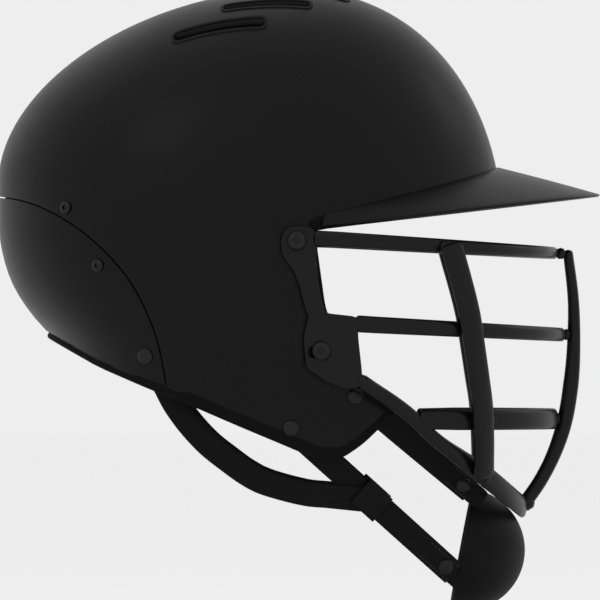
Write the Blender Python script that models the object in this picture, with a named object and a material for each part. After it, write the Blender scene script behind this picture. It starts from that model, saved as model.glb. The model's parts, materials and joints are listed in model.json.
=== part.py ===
"""A cricket batting helmet: crown shell, rear guard, peak, padded lining, tilting grille and chin harness.

The frame: +X is the way the wearer faces, +Y is the wearer's left and +Z is up.  The origin is the middle of
the head opening at brow height.  Lengths in this script are millimetres; MM turns them into Blender's metres.
"""

import math

import bpy
import numpy as np
from mathutils import Matrix

MM = 0.001
SIDES = {"left": 1.0, "right": -1.0}

# Driving dimensions of the shell
CROWN_HEIGHT = 128.5
CROWN_X = 21.0
FRONT_REACH = 135.0
BACK_REACH = -134.0
HALF_WIDTH = 108.0
WIDEST_X = -20.0
PLAN_POWER = 2.15
FRONT_POWER = 2.15
BACK_POWER = 1.83
SHELL_THICKNESS = 3.0
RIM_BEAD = 3.0
RIM_CORNER = 7.0
PARTING_GAP = 0.8
LAND_DEPTH = 0.7

# Depths of the lining below the outer surface, as (outer face, inner face)
BAND_DEPTHS = (3.8, 5.2)
VENT_MESH_DEPTHS = (3.8, 4.9)
LINER_DEPTHS = (6.7, 20.5)
PAD_DEPTHS = (22.0, 28.5)
EAR_PAD_DEPTHS = (7.2, 23.0)

# Grille: its two fixings on each side, as (x, z), and its wires
TILT_PIVOT = (25.0, -6.0)
SLOT_SCREW = (38.0, -64.0)
TILT_RANGE_DEG = 4.0
SCREW_RADIUS = 2.5
BARREL_RADIUS = 3.8
FLANGE_RADIUS = 5.2
BRACKET_THICKNESS = 2.0
WIRE_DEPTH = 5.0
CHIN_WIRE_TALL = 7.5
UPRIGHT_DEPTH = 7.5
LAYER_GAP = 0.5

# Straps and chin cup
STRAP_WIDTH = 13.0
STRAP_THICKNESS = 1.5
STRAP_DEPTH = 4.9
RIVET_RADIUS = 2.0
CUP_CENTRE = np.array([112.0, 0.0, -171.0])
CUP_RADII = np.array([34.0, 46.0, 33.0])
CUP_LEAN_DEG = 10.6
CUP_POWER = 2.6
CUP_THICKNESS = 2.6
CUP_PAD_DEPTHS = (3.0, 8.0)
HARNESS_PIVOT = (40.0, -98.0)

# Side-view outlines, as (x, z) points from front to back
EAR_GUARD_EDGE = [
    (36.0, 1.9), (35.5, -8.0), (40.5, -44.0), (50.0, -60.0), (58.0, -80.0), (80.5, -93.5),
    (60.0, -113.5), (48.0, -121.5), (36.0, -121.5), (16.0, -113.0), (-5.0, -104.2), (-29.0, -93.8),
    (-53.0, -84.3), (-80.0, -72.8), (-104.0, -59.5),
]
BACK_RIM_SLOPE = -0.5537
BACK_PROFILE = [
    (-150, -84.0), (-100, -89.5), (-80, -94.5), (-66, -99.5), (-55, -107.5), (-45, -116.3), (-30, -126.0),
    (-13, -131.8), (5, -134.0), (27, -134.0),
]
PARTING_LINE = [
    (-150.0, 17.0), (-134.0, 17.2), (-112.0, 12.0), (-88.0, -2.0), (-66.0, -24.0), (-52.0, -50.0),
    (-45.0, -78.0), (-42.0, -110.0),
]


# ---------------------------------------------------------------- curves and outlines


def unit(v):
    return v / np.linalg.norm(v)


def resample(line, count):
    """count points at even steps along a line of points."""
    line = np.array(line, float)
    along = np.r_[0, np.cumsum(np.linalg.norm(np.diff(line, axis=0), axis=1))]
    at = np.linspace(0, along[-1], count)
    return np.column_stack([np.interp(at, along, column) for column in line.T])


def smooth_curve(points, count):
    """count points at even steps along a Catmull-Rom curve through the given points."""
    p = np.array(points, float)
    p = np.vstack([2 * p[0] - p[1], p, 2 * p[-1] - p[-2]])
    fine = []
    for a, b, c, d in zip(p[:-3], p[1:-2], p[2:-1], p[3:]):
        for t in np.linspace(0, 1, 24, endpoint=False):
            bend = (2 * a - 5 * b + 4 * c - d) * t**2 + (3 * b - a - 3 * c + d) * t**3
            fine.append(0.5 * (2 * b + (c - a) * t + bend))
    return resample(fine + [p[-2]], count)


def curve_value(points, at):
    """A smooth, never overshooting curve through (position, value) points, read at one position."""
    px, py = np.array(points, float).T
    step = np.diff(px)
    slope = np.diff(py) / step
    inner = np.where(slope[:-1] * slope[1:] > 0, (slope[:-1] + slope[1:]) / 2, 0)
    tangent = np.r_[slope[0], inner, slope[-1]]
    i = int(np.clip(np.searchsorted(px, at) - 1, 0, len(step) - 1))
    t = (at - px[i]) / step[i]
    if t < 0 or t > 1:
        end = 0 if t < 0 else -1
        return float(py[end] + slope[end] * (at - px[end]))
    pull = (1 - t) ** 2 * t * tangent[i] - t**2 * (1 - t) * tangent[i + 1]
    return float((1 + 2 * t) * (1 - t) ** 2 * py[i] + t * t * (3 - 2 * t) * py[i + 1] + step[i] * pull)


def rounded(corners, radius, steps=3, closed=True):
    """A 2-D outline whose corners are replaced by arcs of about that radius."""
    corners = [np.array(c, float) for c in corners]
    n = len(corners)
    out = []
    for i, corner in enumerate(corners):
        if not closed and i in (0, n - 1):
            out.append(corner)
            continue
        to_before, to_after = corners[i - 1] - corner, corners[(i + 1) % n] - corner
        before, after = np.linalg.norm(to_before), np.linalg.norm(to_after)
        cut = min(radius, 0.45 * before, 0.45 * after)
        start, end = corner + to_before / before * cut, corner + to_after / after * cut
        for t in np.linspace(0, 1, steps):
            out.append((1 - t) ** 2 * start + 2 * t * (1 - t) * corner + t * t * end)
    return np.array(out)


def moved_sideways(line, amount):
    """A 2-D line moved sideways, to its right as seen along it."""
    ahead = np.gradient(np.array(line, float), axis=0)
    ahead /= np.linalg.norm(ahead, axis=1)[:, None]
    return np.array(line) + amount * np.column_stack([ahead[:, 1], -ahead[:, 0]])


# ---------------------------------------------------------------- meshes and cuts


def material(name, colour, roughness, metallic=0.0):
    made = bpy.data.materials.new(name)
    made.use_nodes = True
    shader = made.node_tree.nodes["Principled BSDF"]
    shader.inputs["Base Color"].default_value = (*colour, 1)
    shader.inputs["Roughness"].default_value = roughness
    shader.inputs["Metallic"].default_value = metallic
    return made


def mesh_object(name, points, faces, finish=None):
    """An object from points in millimetres, with its faces turned outwards and round parts shaded smooth."""
    mesh = bpy.data.meshes.new(name)
    mesh.from_pydata([tuple(np.array(p) * MM) for p in points], [], [tuple(f) for f in faces])
    corners = [[np.array(points[v]) for v in face] for face in faces]
    volume = sum(np.dot(c[0], np.cross(c[i], c[i + 1])) for c in corners for i in range(1, len(c) - 1))
    if volume < 0:
        mesh.flip_normals()
    mesh.shade_smooth()
    mesh.set_sharp_from_angle(angle=math.radians(40))
    made = bpy.data.objects.new(name, mesh)
    bpy.context.scene.collection.objects.link(made)
    if finish:
        mesh.materials.append(finish)
    return made


def loft(name, rings, finish=None, closed=False):
    """A solid through rings of points that all start at the same place and turn the same way."""
    n, m = len(rings), len(rings[0])
    points = [p for ring in rings for p in ring]
    faces = []
    for i in range(n if closed else n - 1):
        a, b = i * m, (i + 1) % n * m
        faces += [(a + k, a + (k + 1) % m, b + (k + 1) % m, b + k) for k in range(m)]
    if not closed:
        faces += [tuple(range(m))[::-1], tuple(range((n - 1) * m, n * m))]
    return mesh_object(name, points, faces, finish)


def prism(name, outline, low, high, finish=None):
    """A side-view outline, as (x, z) points, made solid from y = low to y = high."""
    return loft(name, [[(x, y, z) for x, z in outline] for y in (low, high)], finish)


def crosswise(axis):
    """Two directions square to an axis and to each other."""
    across = unit(np.cross(axis, (0.13, 0.31, 1.0)))
    return across, np.cross(axis, across)


def turned(name, profile, centre, axis, finish=None, sides=12, closed=False):
    """A solid turned about an axis through centre, from (distance along the axis, radius) points.

    A closed profile makes a ring, with a hole along the axis.
    """
    axis = unit(np.array(axis, float))
    across, up = crosswise(axis)
    turns = [across * math.cos(t) + up * math.sin(t) for t in np.linspace(0, math.tau, sides, endpoint=False)]
    if closed:
        rings = [[centre + axis * along + radius * spoke for along, radius in profile] for spoke in turns]
    else:
        rings = [[centre + axis * along + radius * spoke for spoke in turns] for along, radius in profile]
    return loft(name, rings, finish, closed)


def boolean(made, cutter, operation="DIFFERENCE"):
    """Cuts, keeps or joins with another object, which is left out of the model itself."""
    cut = made.modifiers.new(f"{operation.lower()} {cutter.name}", "BOOLEAN")
    cut.operation = operation
    cut.object = cutter
    cut.solver = "EXACT"
    cutter.hide_render = True
    cutter.display_type = "WIRE"


# ---------------------------------------------------------------- the form that all the curved parts follow


def front_x(z):
    """How far forward the outer surface reaches at height z."""
    if z < -5:
        return FRONT_REACH
    share = (z + 5) / (CROWN_HEIGHT + 5)
    return CROWN_X + (FRONT_REACH - CROWN_X) * max(0, 1 - share**FRONT_POWER) ** (1 / FRONT_POWER)


def back_x(z):
    if z < 27:
        return curve_value(BACK_PROFILE, z)
    share = (z - 27) / (CROWN_HEIGHT - 27)
    return CROWN_X + (BACK_REACH - CROWN_X) * max(0, 1 - share**BACK_POWER) ** (1 / BACK_POWER)


def half_width(z):
    if z < 0:
        return HALF_WIDTH - 6 * (z / 100) ** 2
    return HALF_WIDTH * max(0, 1 - (z / CROWN_HEIGHT) ** 2.2) ** (1 / 2.2)


def middle_x(z):
    """Where along the helmet its section at height z is widest."""
    if z < 0:
        return WIDEST_X
    return WIDEST_X + (CROWN_X - WIDEST_X) * (z / CROWN_HEIGHT) ** 2


def reach_x(z, forward):
    return (front_x(z) if forward else back_x(z)) - middle_x(z)


def surface_point(turn, rise):
    """A point of the outer surface.  turn is the plan angle from the front towards the left.  rise is the
    angle above brow height, and below it the height over CROWN_HEIGHT.  Both are in radians."""
    z = CROWN_HEIGHT * (math.sin(rise) if rise > 0 else rise)
    c, s = math.cos(turn), math.sin(turn)
    x = middle_x(z) + reach_x(z, c > 0) * abs(c) ** (2 / PLAN_POWER)
    return np.array([x, half_width(z) * math.copysign(abs(s) ** (2 / PLAN_POWER), s), z])


def form_point(turn, rise, depth=0.0):
    """A point that many millimetres inside the outer surface, measured square to it."""
    rise = min(rise, math.pi / 2 - 0.02)
    step = 0.01
    around = surface_point(turn + step, rise) - surface_point(turn - step, rise)
    upwards = surface_point(turn, rise + step) - surface_point(turn, rise - step)
    return surface_point(turn, rise) - depth * unit(np.cross(around, upwards))


def rise_of(z):
    return math.asin(min(1, z / CROWN_HEIGHT)) if z > 0 else z / CROWN_HEIGHT


def side_angles(x, z, side):
    """The turn and rise of the outer surface at x and z, on one side of the helmet."""
    offset = x - middle_x(z)
    share = min(1, offset / reach_x(z, offset > 0))
    return side * math.acos(math.copysign(share ** (PLAN_POWER / 2), offset)), rise_of(z)


def side_point(x, z, side, depth=0.0):
    """The point at x and z of the layer at one depth, on one side of the helmet."""
    at_x, at_z = x, z
    for _ in range(5):
        point = form_point(*side_angles(at_x, at_z, side), depth)
        at_x, at_z = at_x + x - point[0], at_z + z - point[2]
    return point


def side_normal(x, z, side):
    angles = side_angles(x, z, side)
    return unit(form_point(*angles) - form_point(*angles, 5.0))


def dome(name, depth, finish=None, z_low=-140.0, columns=40):
    """The whole form at one depth, as a closed solid down to z_low."""
    rises = [*np.linspace(rise_of(z_low), 0, 7)[:-1], *np.radians(np.arange(0, 85, 9.0))]
    turns = np.linspace(0, math.tau, columns, endpoint=False)
    points = [form_point(t, r, depth) for r in rises for t in turns]
    points.append(np.array([CROWN_X, 0, form_point(0, math.pi / 2, depth)[2]]))
    faces = [tuple(range(columns))[::-1]]
    for i in range(len(rises) - 1):
        a, b = i * columns, (i + 1) * columns
        faces += [(a + k, a + (k + 1) % columns, b + (k + 1) % columns, b + k) for k in range(columns)]
    top = (len(rises) - 1) * columns
    faces += [(top + k, top + (k + 1) % columns, len(points) - 1) for k in range(columns)]
    return mesh_object(name, points, faces, finish)


def skin(name, depths, region, finish):
    """A layer of the form between two depths, kept inside the region solid."""
    made = dome(name, depths[0], finish, columns=28)
    boolean(made, dome(f"hollow of {name}", depths[1], z_low=-139.0, columns=28))
    boolean(made, region, "INTERSECT")
    return made


# ---------------------------------------------------------------- shell outlines


def peak_edge_z(x):
    """Height of the peak's outer edge, which is straight from the temple to the tip."""
    return 0.5 + (x - 37.0) * 0.1145


def brow_z(x):
    """Height of the shell's brow edge, just above the peak's outer edge."""
    return peak_edge_z(x) + 4.5


def back_rim_z(x):
    """Height of the shell's edge behind the ears."""
    start_x, start_z = shell_edge()[-1]
    return start_z + (x - start_x) * BACK_RIM_SLOPE


def shell_edge():
    """The shell's side edge from temple to nape, inside the rubber bead that finishes it."""
    finished = rounded([(60.0, brow_z(60.0) - RIM_BEAD), *EAR_GUARD_EDGE], RIM_CORNER, closed=False)
    return moved_sideways(finished, RIM_BEAD)


def open_below():
    """Everything in side view that the shell leaves open below its edge."""
    edge = shell_edge()[1:]
    return [(160.0, brow_z(160.0)), *edge, (-160.0, back_rim_z(-160.0)), (-160.0, -175.0), (160.0, -175.0)]


def behind_parting(grow):
    """The rear guard's area in side view, grown forwards past the parting line."""
    edge = moved_sideways(smooth_curve(PARTING_LINE, 20), -grow)
    return [*edge, (-42.0, -175.0), (-165.0, -175.0)]


def normal_hole(name, at, side, radius):
    """A cutter square to the surface at (x, z) on one side."""
    ends = [(-9.0, radius), (6.0, radius)]
    return turned(name, ends, side_point(*at, side), side_normal(*at, side), sides=10)


def level_hole(name, at, side, radius):
    """A cutter along Y at (x, z) on one side."""
    ends = [(60.0, radius), (130.0, radius)]
    return turned(name, ends, np.array([at[0], 0, at[1]]), (0, side, 0), sides=10)


# ---------------------------------------------------------------- shell, rear guard, peak and bead

VENT_ROWS = {"inner": (24.0, 8.0, 52.0), "middle": (44.0, -14.0, 32.0), "outer": (62.0, -40.0, 8.0)}
VENT_HALF_WIDTH = 3.6
STRAP_ANCHORS = {"upper": (56.0, -88.0), "lower": (22.0, -105.0), "rear": (-55.0, -67.0)}
LINER_EDGE = [
    (-150.0, -38.0), (-64.0, -38.0), (-48.0, -20.0), (-30.0, 6.0), (10.0, 8.0), (37.0, 10.0), (150.0, 22.0),
]
BAND_HALF_WIDTH = 8.0
BAND_POINTS = 13
BAND_SCREWS = {"crown": (-97.0, 11.5), "guard": (-80.0, -19.0)}
PEAK_SCREW_TURNS = {"left": 40.0, "middle": 0.0, "right": -40.0}


def vent_cutters():
    """Three long slots on each side of the crown, stepping back as they go outwards."""
    for side_name, side in SIDES.items():
        for row, (y, back, front) in VENT_ROWS.items():
            low, high = y - VENT_HALF_WIDTH, y + VENT_HALF_WIDTH
            outline = rounded([(back, low), (front, low), (front, high), (back, high)], VENT_HALF_WIDTH)
            rings = [[(x, side * across, z) for x, across in outline] for z in (60.0, 140.0)]
            yield loft(f"{row} vent {side_name}", rings)


def peak_screw_seat(turn_deg, depth=0.0):
    """Where a peak screw sits, and the direction it points out of the shell."""
    turn = math.radians(turn_deg)
    x = form_point(turn, rise_of(20.0))[0]
    z = brow_z(x) + 4.4
    point = form_point(turn, rise_of(z))
    out = unit(point - form_point(turn, rise_of(z), 5.0))
    return point - out * depth, out


def make_shell(finishes):
    crown = dome("crown_shell", 0, finishes["shell"])
    guard = dome("rear_guard", 0, finishes["shell"])
    hollow = dome("hollow of shell", SHELL_THICKNESS, z_low=-139.0)
    below = prism("below rim", open_below(), -150, 150)
    for piece in (crown, guard):
        boolean(piece, hollow)
        boolean(piece, below)
    boolean(crown, prism("guard area", behind_parting(PARTING_GAP), -150, 150))
    boolean(guard, prism("guard area kept", behind_parting(0), -150, 150), "INTERSECT")
    for cutter in vent_cutters():
        boolean(crown, cutter)
    for side_name, side in SIDES.items():
        for use, at in (("pivot", TILT_PIVOT), ("slot", SLOT_SCREW)):
            boolean(crown, level_hole(f"{use} hole {side_name}", at, side, BARREL_RADIUS + 0.4))
        for strap, at in STRAP_ANCHORS.items():
            cutter = normal_hole(f"{strap} rivet hole {side_name}", at, side, RIVET_RADIUS + 0.35)
            boolean(guard if strap == "rear" else crown, cutter)
        for piece, at in ((crown, BAND_SCREWS["crown"]), (guard, BAND_SCREWS["guard"])):
            boolean(piece, normal_hole(f"{piece.name} band screw hole {side_name}", at, side, 1.9))
    for place, turn in PEAK_SCREW_TURNS.items():
        point, out = peak_screw_seat(turn)
        boolean(crown, turned(f"peak screw hole {place}", [(-8.0, 1.9), (1.0, 1.9)], point, out, sides=10))
    land_x = BACK_REACH + LAND_DEPTH
    land = [(-150.0, -20.0), (-150.0, 30.0), (land_x, 30.0), (land_x, -20.0)]
    boolean(guard, prism("land cut", land, -30, 30))


def peak_section(share):
    """The peak's closed section at share, from -1 at the right temple to 1 at the left."""
    turn = math.radians(69.0) * share
    root_z = 33.5 - 25.5 * abs(share) ** 1.7
    swing = math.radians(90) * share
    reach = abs(math.cos(swing)) ** (2 / 2.3)
    edge_y = math.copysign(105.0 * abs(math.sin(swing)) ** (2 / 2.3), share)
    edge_x = 38.5 + (186.7 - 38.5) * reach
    edge = np.array([edge_x, edge_y, peak_edge_z(edge_x)])
    gap, skirt = -0.5, -2.3
    root = form_point(turn, rise_of(root_z), gap)
    skirt_z = min(max(brow_z(root[0]) + 1.2, edge[2] + 2.0), root_z - 4.5)
    skirt_in = form_point(turn, rise_of(skirt_z), gap)
    skirt_out = form_point(turn, rise_of(skirt_z), skirt)
    under = form_point(turn, rise_of(root_z - 3.6), skirt)
    inwards = unit(np.array([root[0] - edge[0], root[1] - edge[1], 0.0]))
    upper, lower = edge + np.array([0, 0, 1.3]), edge + inwards * 0.8
    camber = np.array([0, 0, 0.3 * reach])
    return [root, (root + upper) / 2 + camber, upper, lower, (under + lower) / 2 + camber, under,
            skirt_out, skirt_in]


def make_peak(finishes):
    peak = loft("peak", [peak_section(share) for share in np.linspace(-1, 1, 33)], finishes["shell"])
    for place, turn in PEAK_SCREW_TURNS.items():
        point, out = peak_screw_seat(turn)
        boolean(peak, turned(f"peak hole {place}", [(0.0, 1.9), (2.6, 1.9)], point, out, sides=10))
        profile = [(-4.5, 1.5), (2.8, 1.5), (2.8, 2.7), (3.5, 2.5), (4.0, 1.6), (4.0, 1.1), (3.0, 1.1)]
        turned(f"peak_screw_{place}", profile, point, out, finishes["steel"])


def rim_point(turn, line, depth):
    """The point at a plan angle of the layer at one depth, where it meets a side-view line."""
    z = 0.0
    for _ in range(30):
        point = form_point(turn, rise_of(z), depth)
        z += 0.5 * (line(point[0]) - point[2])
    return point


def rim_line(depth):
    """Half of the shell's edge, from the middle of the brow round the left side to the middle of the nape."""
    brow = [rim_point(t, brow_z, depth) for t in np.radians(np.linspace(0, 62, 14))]
    side = [side_point(x, z, 1, depth) for x, z in shell_edge() if x > -78 and z < 3.0]
    nape = [rim_point(t, back_rim_z, depth) for t in np.radians(np.linspace(142, 180, 9))]
    return np.array([*brow, *side, *nape])


def make_bead(finishes):
    """A rubber bead all round the shell's edge."""
    middle, inner = rim_line(SHELL_THICKNESS / 2), rim_line(SHELL_THICKNESS / 2 + 3)
    mirror = np.array([1, -1, 1])
    path = np.vstack([middle, middle[-2:0:-1] * mirror])
    outward = path - np.vstack([inner, inner[-2:0:-1] * mirror])
    rings = []
    for i, point in enumerate(path):
        ahead = unit(path[(i + 1) % len(path)] - path[i - 1])
        out = unit(outward[i] - ahead * np.dot(outward[i], ahead))
        away = np.cross(ahead, out)
        section = ((-1.9, 0.45), (1.9, 0.45), (1.9, 2.0), (1.0, RIM_BEAD), (-1.0, RIM_BEAD), (-1.9, 2.0))
        rings.append([point + out * a + away * b for a, b in section])
    loft("edge_trim", rings, finishes["rubber"], closed=True)


# ---------------------------------------------------------------- lining


def make_lining(finishes):
    ahead, behind = behind_parting(BAND_HALF_WIDTH), behind_parting(-BAND_HALF_WIDTH)
    band_outline = [*ahead[:BAND_POINTS], *behind[BAND_POINTS - 1::-1]]
    band_region = prism("band kept", band_outline, -150, 150)
    guard_band = skin("guard_band", BAND_DEPTHS, band_region, finishes["moulding"])
    for side_name, side in SIDES.items():
        for use, at in BAND_SCREWS.items():
            boolean(guard_band, normal_hole(f"band {use} hole {side_name}", at, side, 1.9))
            profile = [(-5.0, 1.5), (0.35, 1.5), (0.35, 3.4), (1.2, 3.0), (1.8, 1.7), (1.8, 1.1), (0.8, 1.1)]
            turned(f"{use}_screw_{side_name}", profile, side_point(*at, side), side_normal(*at, side),
                   finishes["steel"])
        corners = [(-46.0, side * 16.0), (58.0, side * 16.0), (58.0, side * 70.0), (-46.0, side * 70.0)]
        rings = [[(x, y, z) for x, y in rounded(corners, 6.0)] for z in (60.0, 140.0)]
        region = loft(f"mesh kept {side_name}", rings)
        skin(f"vent_mesh_{side_name}", VENT_MESH_DEPTHS, region, finishes["mesh"])
    edge = rounded(LINER_EDGE, 8.0, closed=False)
    region = prism("liner kept", [*edge, (150.0, 150.0), (-150.0, 150.0)], -150, 150)
    skin("impact_liner", LINER_DEPTHS, region, finishes["foam"])


def pad(name, turns_deg, edges, depths, finish, rows=4):
    """A pad that follows the form.  edges(share) gives its lower and upper height along its length, with
    share running from -1 to 1."""
    rings = []
    for share in np.linspace(-1, 1, 9):
        turn = math.radians(np.interp(share, (-1, 1), turns_deg))
        rises = [rise_of(z) for z in np.linspace(*edges(share), rows)]
        outer = [form_point(turn, rise, depths[0]) for rise in rises]
        inner = [form_point(turn, rise, depths[1]) for rise in rises[::-1]]
        rings.append(outer + inner)
    loft(name, rings, finish)


def oval(middle, half_height, power=3.0):
    """Edges of a pad that is rounded at both ends."""
    def edges(share):
        half = half_height * max(0.25, (1 - abs(share) ** power) ** (1 / power))
        return middle - half, middle + half
    return edges


def make_pads(finishes):
    pad("brow_pad", (-52.0, 52.0), oval(34.0, 11.0), PAD_DEPTHS, finishes["fabric"])
    pad("nape_pad", (152.0, 208.0), oval(-16.0, 15.0), PAD_DEPTHS, finishes["fabric"])
    for side_name, side in SIDES.items():
        pad(f"temple_pad_{side_name}", (side * 62.0, side * 104.0), oval(36.0, 16.0), PAD_DEPTHS,
            finishes["fabric"])
        pad(f"ear_pad_{side_name}", (side * 73.0, side * 109.0), oval(-50.0, 40.0, 2.2), EAR_PAD_DEPTHS,
            finishes["fabric"])
    turns = np.linspace(0, math.tau, 16, endpoint=False)
    rings = []
    for depth, rises in ((PAD_DEPTHS[0], (86, 74, 62)), (PAD_DEPTHS[1], (62, 74, 86))):
        rings += [[form_point(t, math.radians(rise), depth) for t in turns] for rise in rises]
    loft("crown_pad", rings, finishes["fabric"])


# ---------------------------------------------------------------- grille fixings on the shell


def make_fixings(finishes):
    """A shouldered nut through the shell and a screw, at both fixings of each side of the grille."""
    for side_name, side in SIDES.items():
        for use, (x, z) in (("pivot", TILT_PIVOT), ("slot", SLOT_SCREW)):
            plate = bracket_y(z)
            seat = side_point(x + FLANGE_RADIUS, z, 1, SHELL_THICKNESS)[1] - 0.6
            bore, end = SCREW_RADIUS + 0.3, plate - 0.35
            nut = [(seat - 1.4, bore), (seat - 1.4, FLANGE_RADIUS), (seat, FLANGE_RADIUS),
                   (seat, BARREL_RADIUS), (end, BARREL_RADIUS), (end, bore)]
            top = plate + BRACKET_THICKNESS + LAYER_GAP
            screw = [(seat - 0.5, SCREW_RADIUS), (top, SCREW_RADIUS), (top, 4.9), (top + 1.2, 4.7),
                     (top + 2.2, 3.2), (top + 2.2, 1.7), (top + 0.7, 1.7)]
            centre, axis = np.array([x, 0, z]), (0, side, 0)
            turned(f"{use}_nut_{side_name}", nut, centre, axis, finishes["steel"], closed=True)
            turned(f"{use}_screw_{side_name}", screw, centre, axis, finishes["steel"])


# ---------------------------------------------------------------- grille

GRILLE_PROFILE = [
    (-152.0, 145.5), (-133.0, 159.0), (-109.0, 170.0), (-85.0, 175.0), (-60.0, 176.3), (-37.0, 175.5),
    (-10.0, 172.0),
]
GRILLE_HALF_WIDTH = [
    (-150.0, 80.0), (-120.0, 90.0), (-95.0, 98.0), (-80.0, 102.8), (-50.0, 105.0), (-5.0, 108.0),
]
GRILLE_BACK_X = 30.0
GRILLE_POWER = 2.1
BRACKET_Y = [
    (-80.0, 102.4), (-52.0, 102.4), (-40.0, 103.7), (-22.0, 105.5), (-13.0, 106.5), (4.0, 106.5),
]
# (height, back edge, front edge) of the bent side bracket, from its foot up
BRACKET_ROWS = [
    (-84.0, 49.0, 57.0), (-80.0, 40.0, 59.6), (-73.0, 30.0, 59.2), (-57.0, 28.5, 57.4), (-46.2, 31.0, 57.3),
    (-44.4, 30.5, 41.0), (-40.0, 29.0, 38.5), (-30.0, 26.5, 36.6), (-22.0, 23.5, 35.6), (-14.0, 17.5, 35.2),
    (-8.0, 16.5, 35.0), (-2.0, 17.5, 35.0), (1.5, 21.0, 32.0),
]
CHIN_BAR_SIDE = [
    (60.0, -81.0), (86.3, -99.5), (95.6, -108.8), (115.1, -124.2), (127.8, -134.0), (144.2, -147.8),
]
SIDE_UPRIGHT = [
    (-130.0, 124.3), (-109.0, 124.0), (-93.0, 123.2), (-77.0, 121.0), (-60.0, 118.5), (-45.0, 116.2),
    (-6.5, 106.0),
]


def bracket_y(z):
    return float(np.interp(z, *zip(*BRACKET_Y)))


def wire_reach(z):
    """How far forward the wires' middle line reaches.  The middle upright runs in front of them all, down to
    the chin wire, which is the foremost one below it."""
    behind_upright = UPRIGHT_DEPTH + LAYER_GAP + WIRE_DEPTH / 2
    setback = np.interp(z, (-147.0, -128.0), (CHIN_WIRE_TALL / 2, behind_upright))
    return curve_value(GRILLE_PROFILE, z) - setback


def grille_point(x, z, outwards=0.0):
    """The point of the grille's face at x and z on its left side, and its outward direction there."""
    length, width = wire_reach(z) - GRILLE_BACK_X, curve_value(GRILLE_HALF_WIDTH, z)
    base_x = x
    for _ in range(4 if outwards else 1):
        share = min(1.0, (base_x - GRILLE_BACK_X) / length)
        y_share = max(0.0, 1 - share**GRILLE_POWER) ** (1 / GRILLE_POWER)
        power = GRILLE_POWER - 1
        out = unit(np.array([share**power / length, y_share**power / width, 0.0]))
        base_x = x - outwards * out[0]
    return np.array([base_x, width * y_share, z]) + outwards * out, out


def wire(name, path, outward, heights, depths, finish, sides=8):
    """A wire of oval section.  heights run across the path in the grille's face, and depths through it."""
    rings = []
    for i, point in enumerate(path):
        ahead = unit(path[min(i + 1, len(path) - 1)] - path[max(i - 1, 0)])
        out = unit(outward[i] - ahead * np.dot(outward[i], ahead))
        across = np.cross(ahead, out)
        turns = np.linspace(0, math.tau, sides, endpoint=False) + math.pi / sides
        rings.append([
            point + across * heights[i] / 2 * math.copysign(abs(math.cos(t)) ** 0.8, math.cos(t))
            + out * depths[i] / 2 * math.copysign(abs(math.sin(t)) ** 0.8, math.sin(t))
            for t in turns
        ])
    loft(name, rings, finish)


def level_wire(name, start, z_at, heights, finish, count=13):
    """A wire right round the grille from its left end at start.  z_at gives its height at each x."""
    front = start[0]
    for _ in range(20):
        front = wire_reach(z_at(front))
    share = np.sin(np.linspace(0, math.pi / 2, count))
    xs = start[0] + (front - start[0]) * share
    left = [grille_point(x, z_at(x)) for x in xs]
    path = [np.array(start), *[p for p, _ in left[1:]]]
    out = [o for _, o in left]
    mirror = np.array([1, -1, 1])
    path += [p * mirror for p in path[-2::-1]]
    out += [o * mirror for o in out[-2::-1]]
    tall = list(np.interp(xs, (start[0], front), heights))
    tall += tall[-2::-1]
    wire(name, path, out, tall, [WIRE_DEPTH] * len(path), finish)


def straight(x1, z1, x2, z2):
    return lambda x: z1 + (x - x1) * (z2 - z1) / (x2 - x1)


def chin_wire_z(x):
    return curve_value(CHIN_BAR_SIDE, x)


def make_grille(finishes):
    finish = finishes["coated_steel"]
    middle_of_plate = BRACKET_THICKNESS / 2
    upper_z, middle_z = straight(35.0, -4.6, 167.0, -12.6), straight(57.0, -50.0, 167.0, -55.8)
    level_wire("upper_wire", (35.5, bracket_y(-5.0) + middle_of_plate, -4.8), upper_z, (8.4, 6.4), finish)
    level_wire("middle_wire", (58.2, bracket_y(-52.0) + middle_of_plate, -50.0), middle_z, (9.0, 7.4), finish)
    level_wire("chin_wire", (60.4, bracket_y(-81.0) + middle_of_plate, -81.2), chin_wire_z,
               (CHIN_WIRE_TALL, CHIN_WIRE_TALL), finish, 17)
    level_wire("lower_wire", grille_point(97.2, -101.2)[0], lambda x: -101.2, (7.0, 9.4), finish)
    heights = np.linspace(-142.0, -9.8, 16)
    front = [np.array([curve_value(GRILLE_PROFILE, z) - UPRIGHT_DEPTH / 2, 0.0, z]) for z in heights]
    wire("middle_upright", front, [np.array([1.0, 0, 0])] * 16, [7.5] * 16, [UPRIGHT_DEPTH] * 16, finish)
    layer = WIRE_DEPTH + LAYER_GAP
    for side_name, side in SIDES.items():
        mirror = np.array([1, side, 1])
        rows = [grille_point(curve_value(SIDE_UPRIGHT, z), z, layer) for z in np.linspace(-130.0, -6.5, 14)]
        wire(f"side_upright_{side_name}", [p * mirror for p, _ in rows], [o * mirror for _, o in rows],
             [13.0] * 14, [WIRE_DEPTH] * 14, finish)
        bracket = loft(f"side_bracket_{side_name}", [
            [(back, side * y, z), (front, side * y, z), (front, side * (y + BRACKET_THICKNESS), z),
             (back, side * (y + BRACKET_THICKNESS), z)]
            for z, back, front in BRACKET_ROWS for y in [bracket_y(z)]
        ], finish)
        boolean(bracket, level_hole(f"bracket pivot hole {side_name}", TILT_PIVOT, side, SCREW_RADIUS + 0.4))
        boolean(bracket, tilt_slot(f"bracket slot {side_name}", side))


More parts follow.
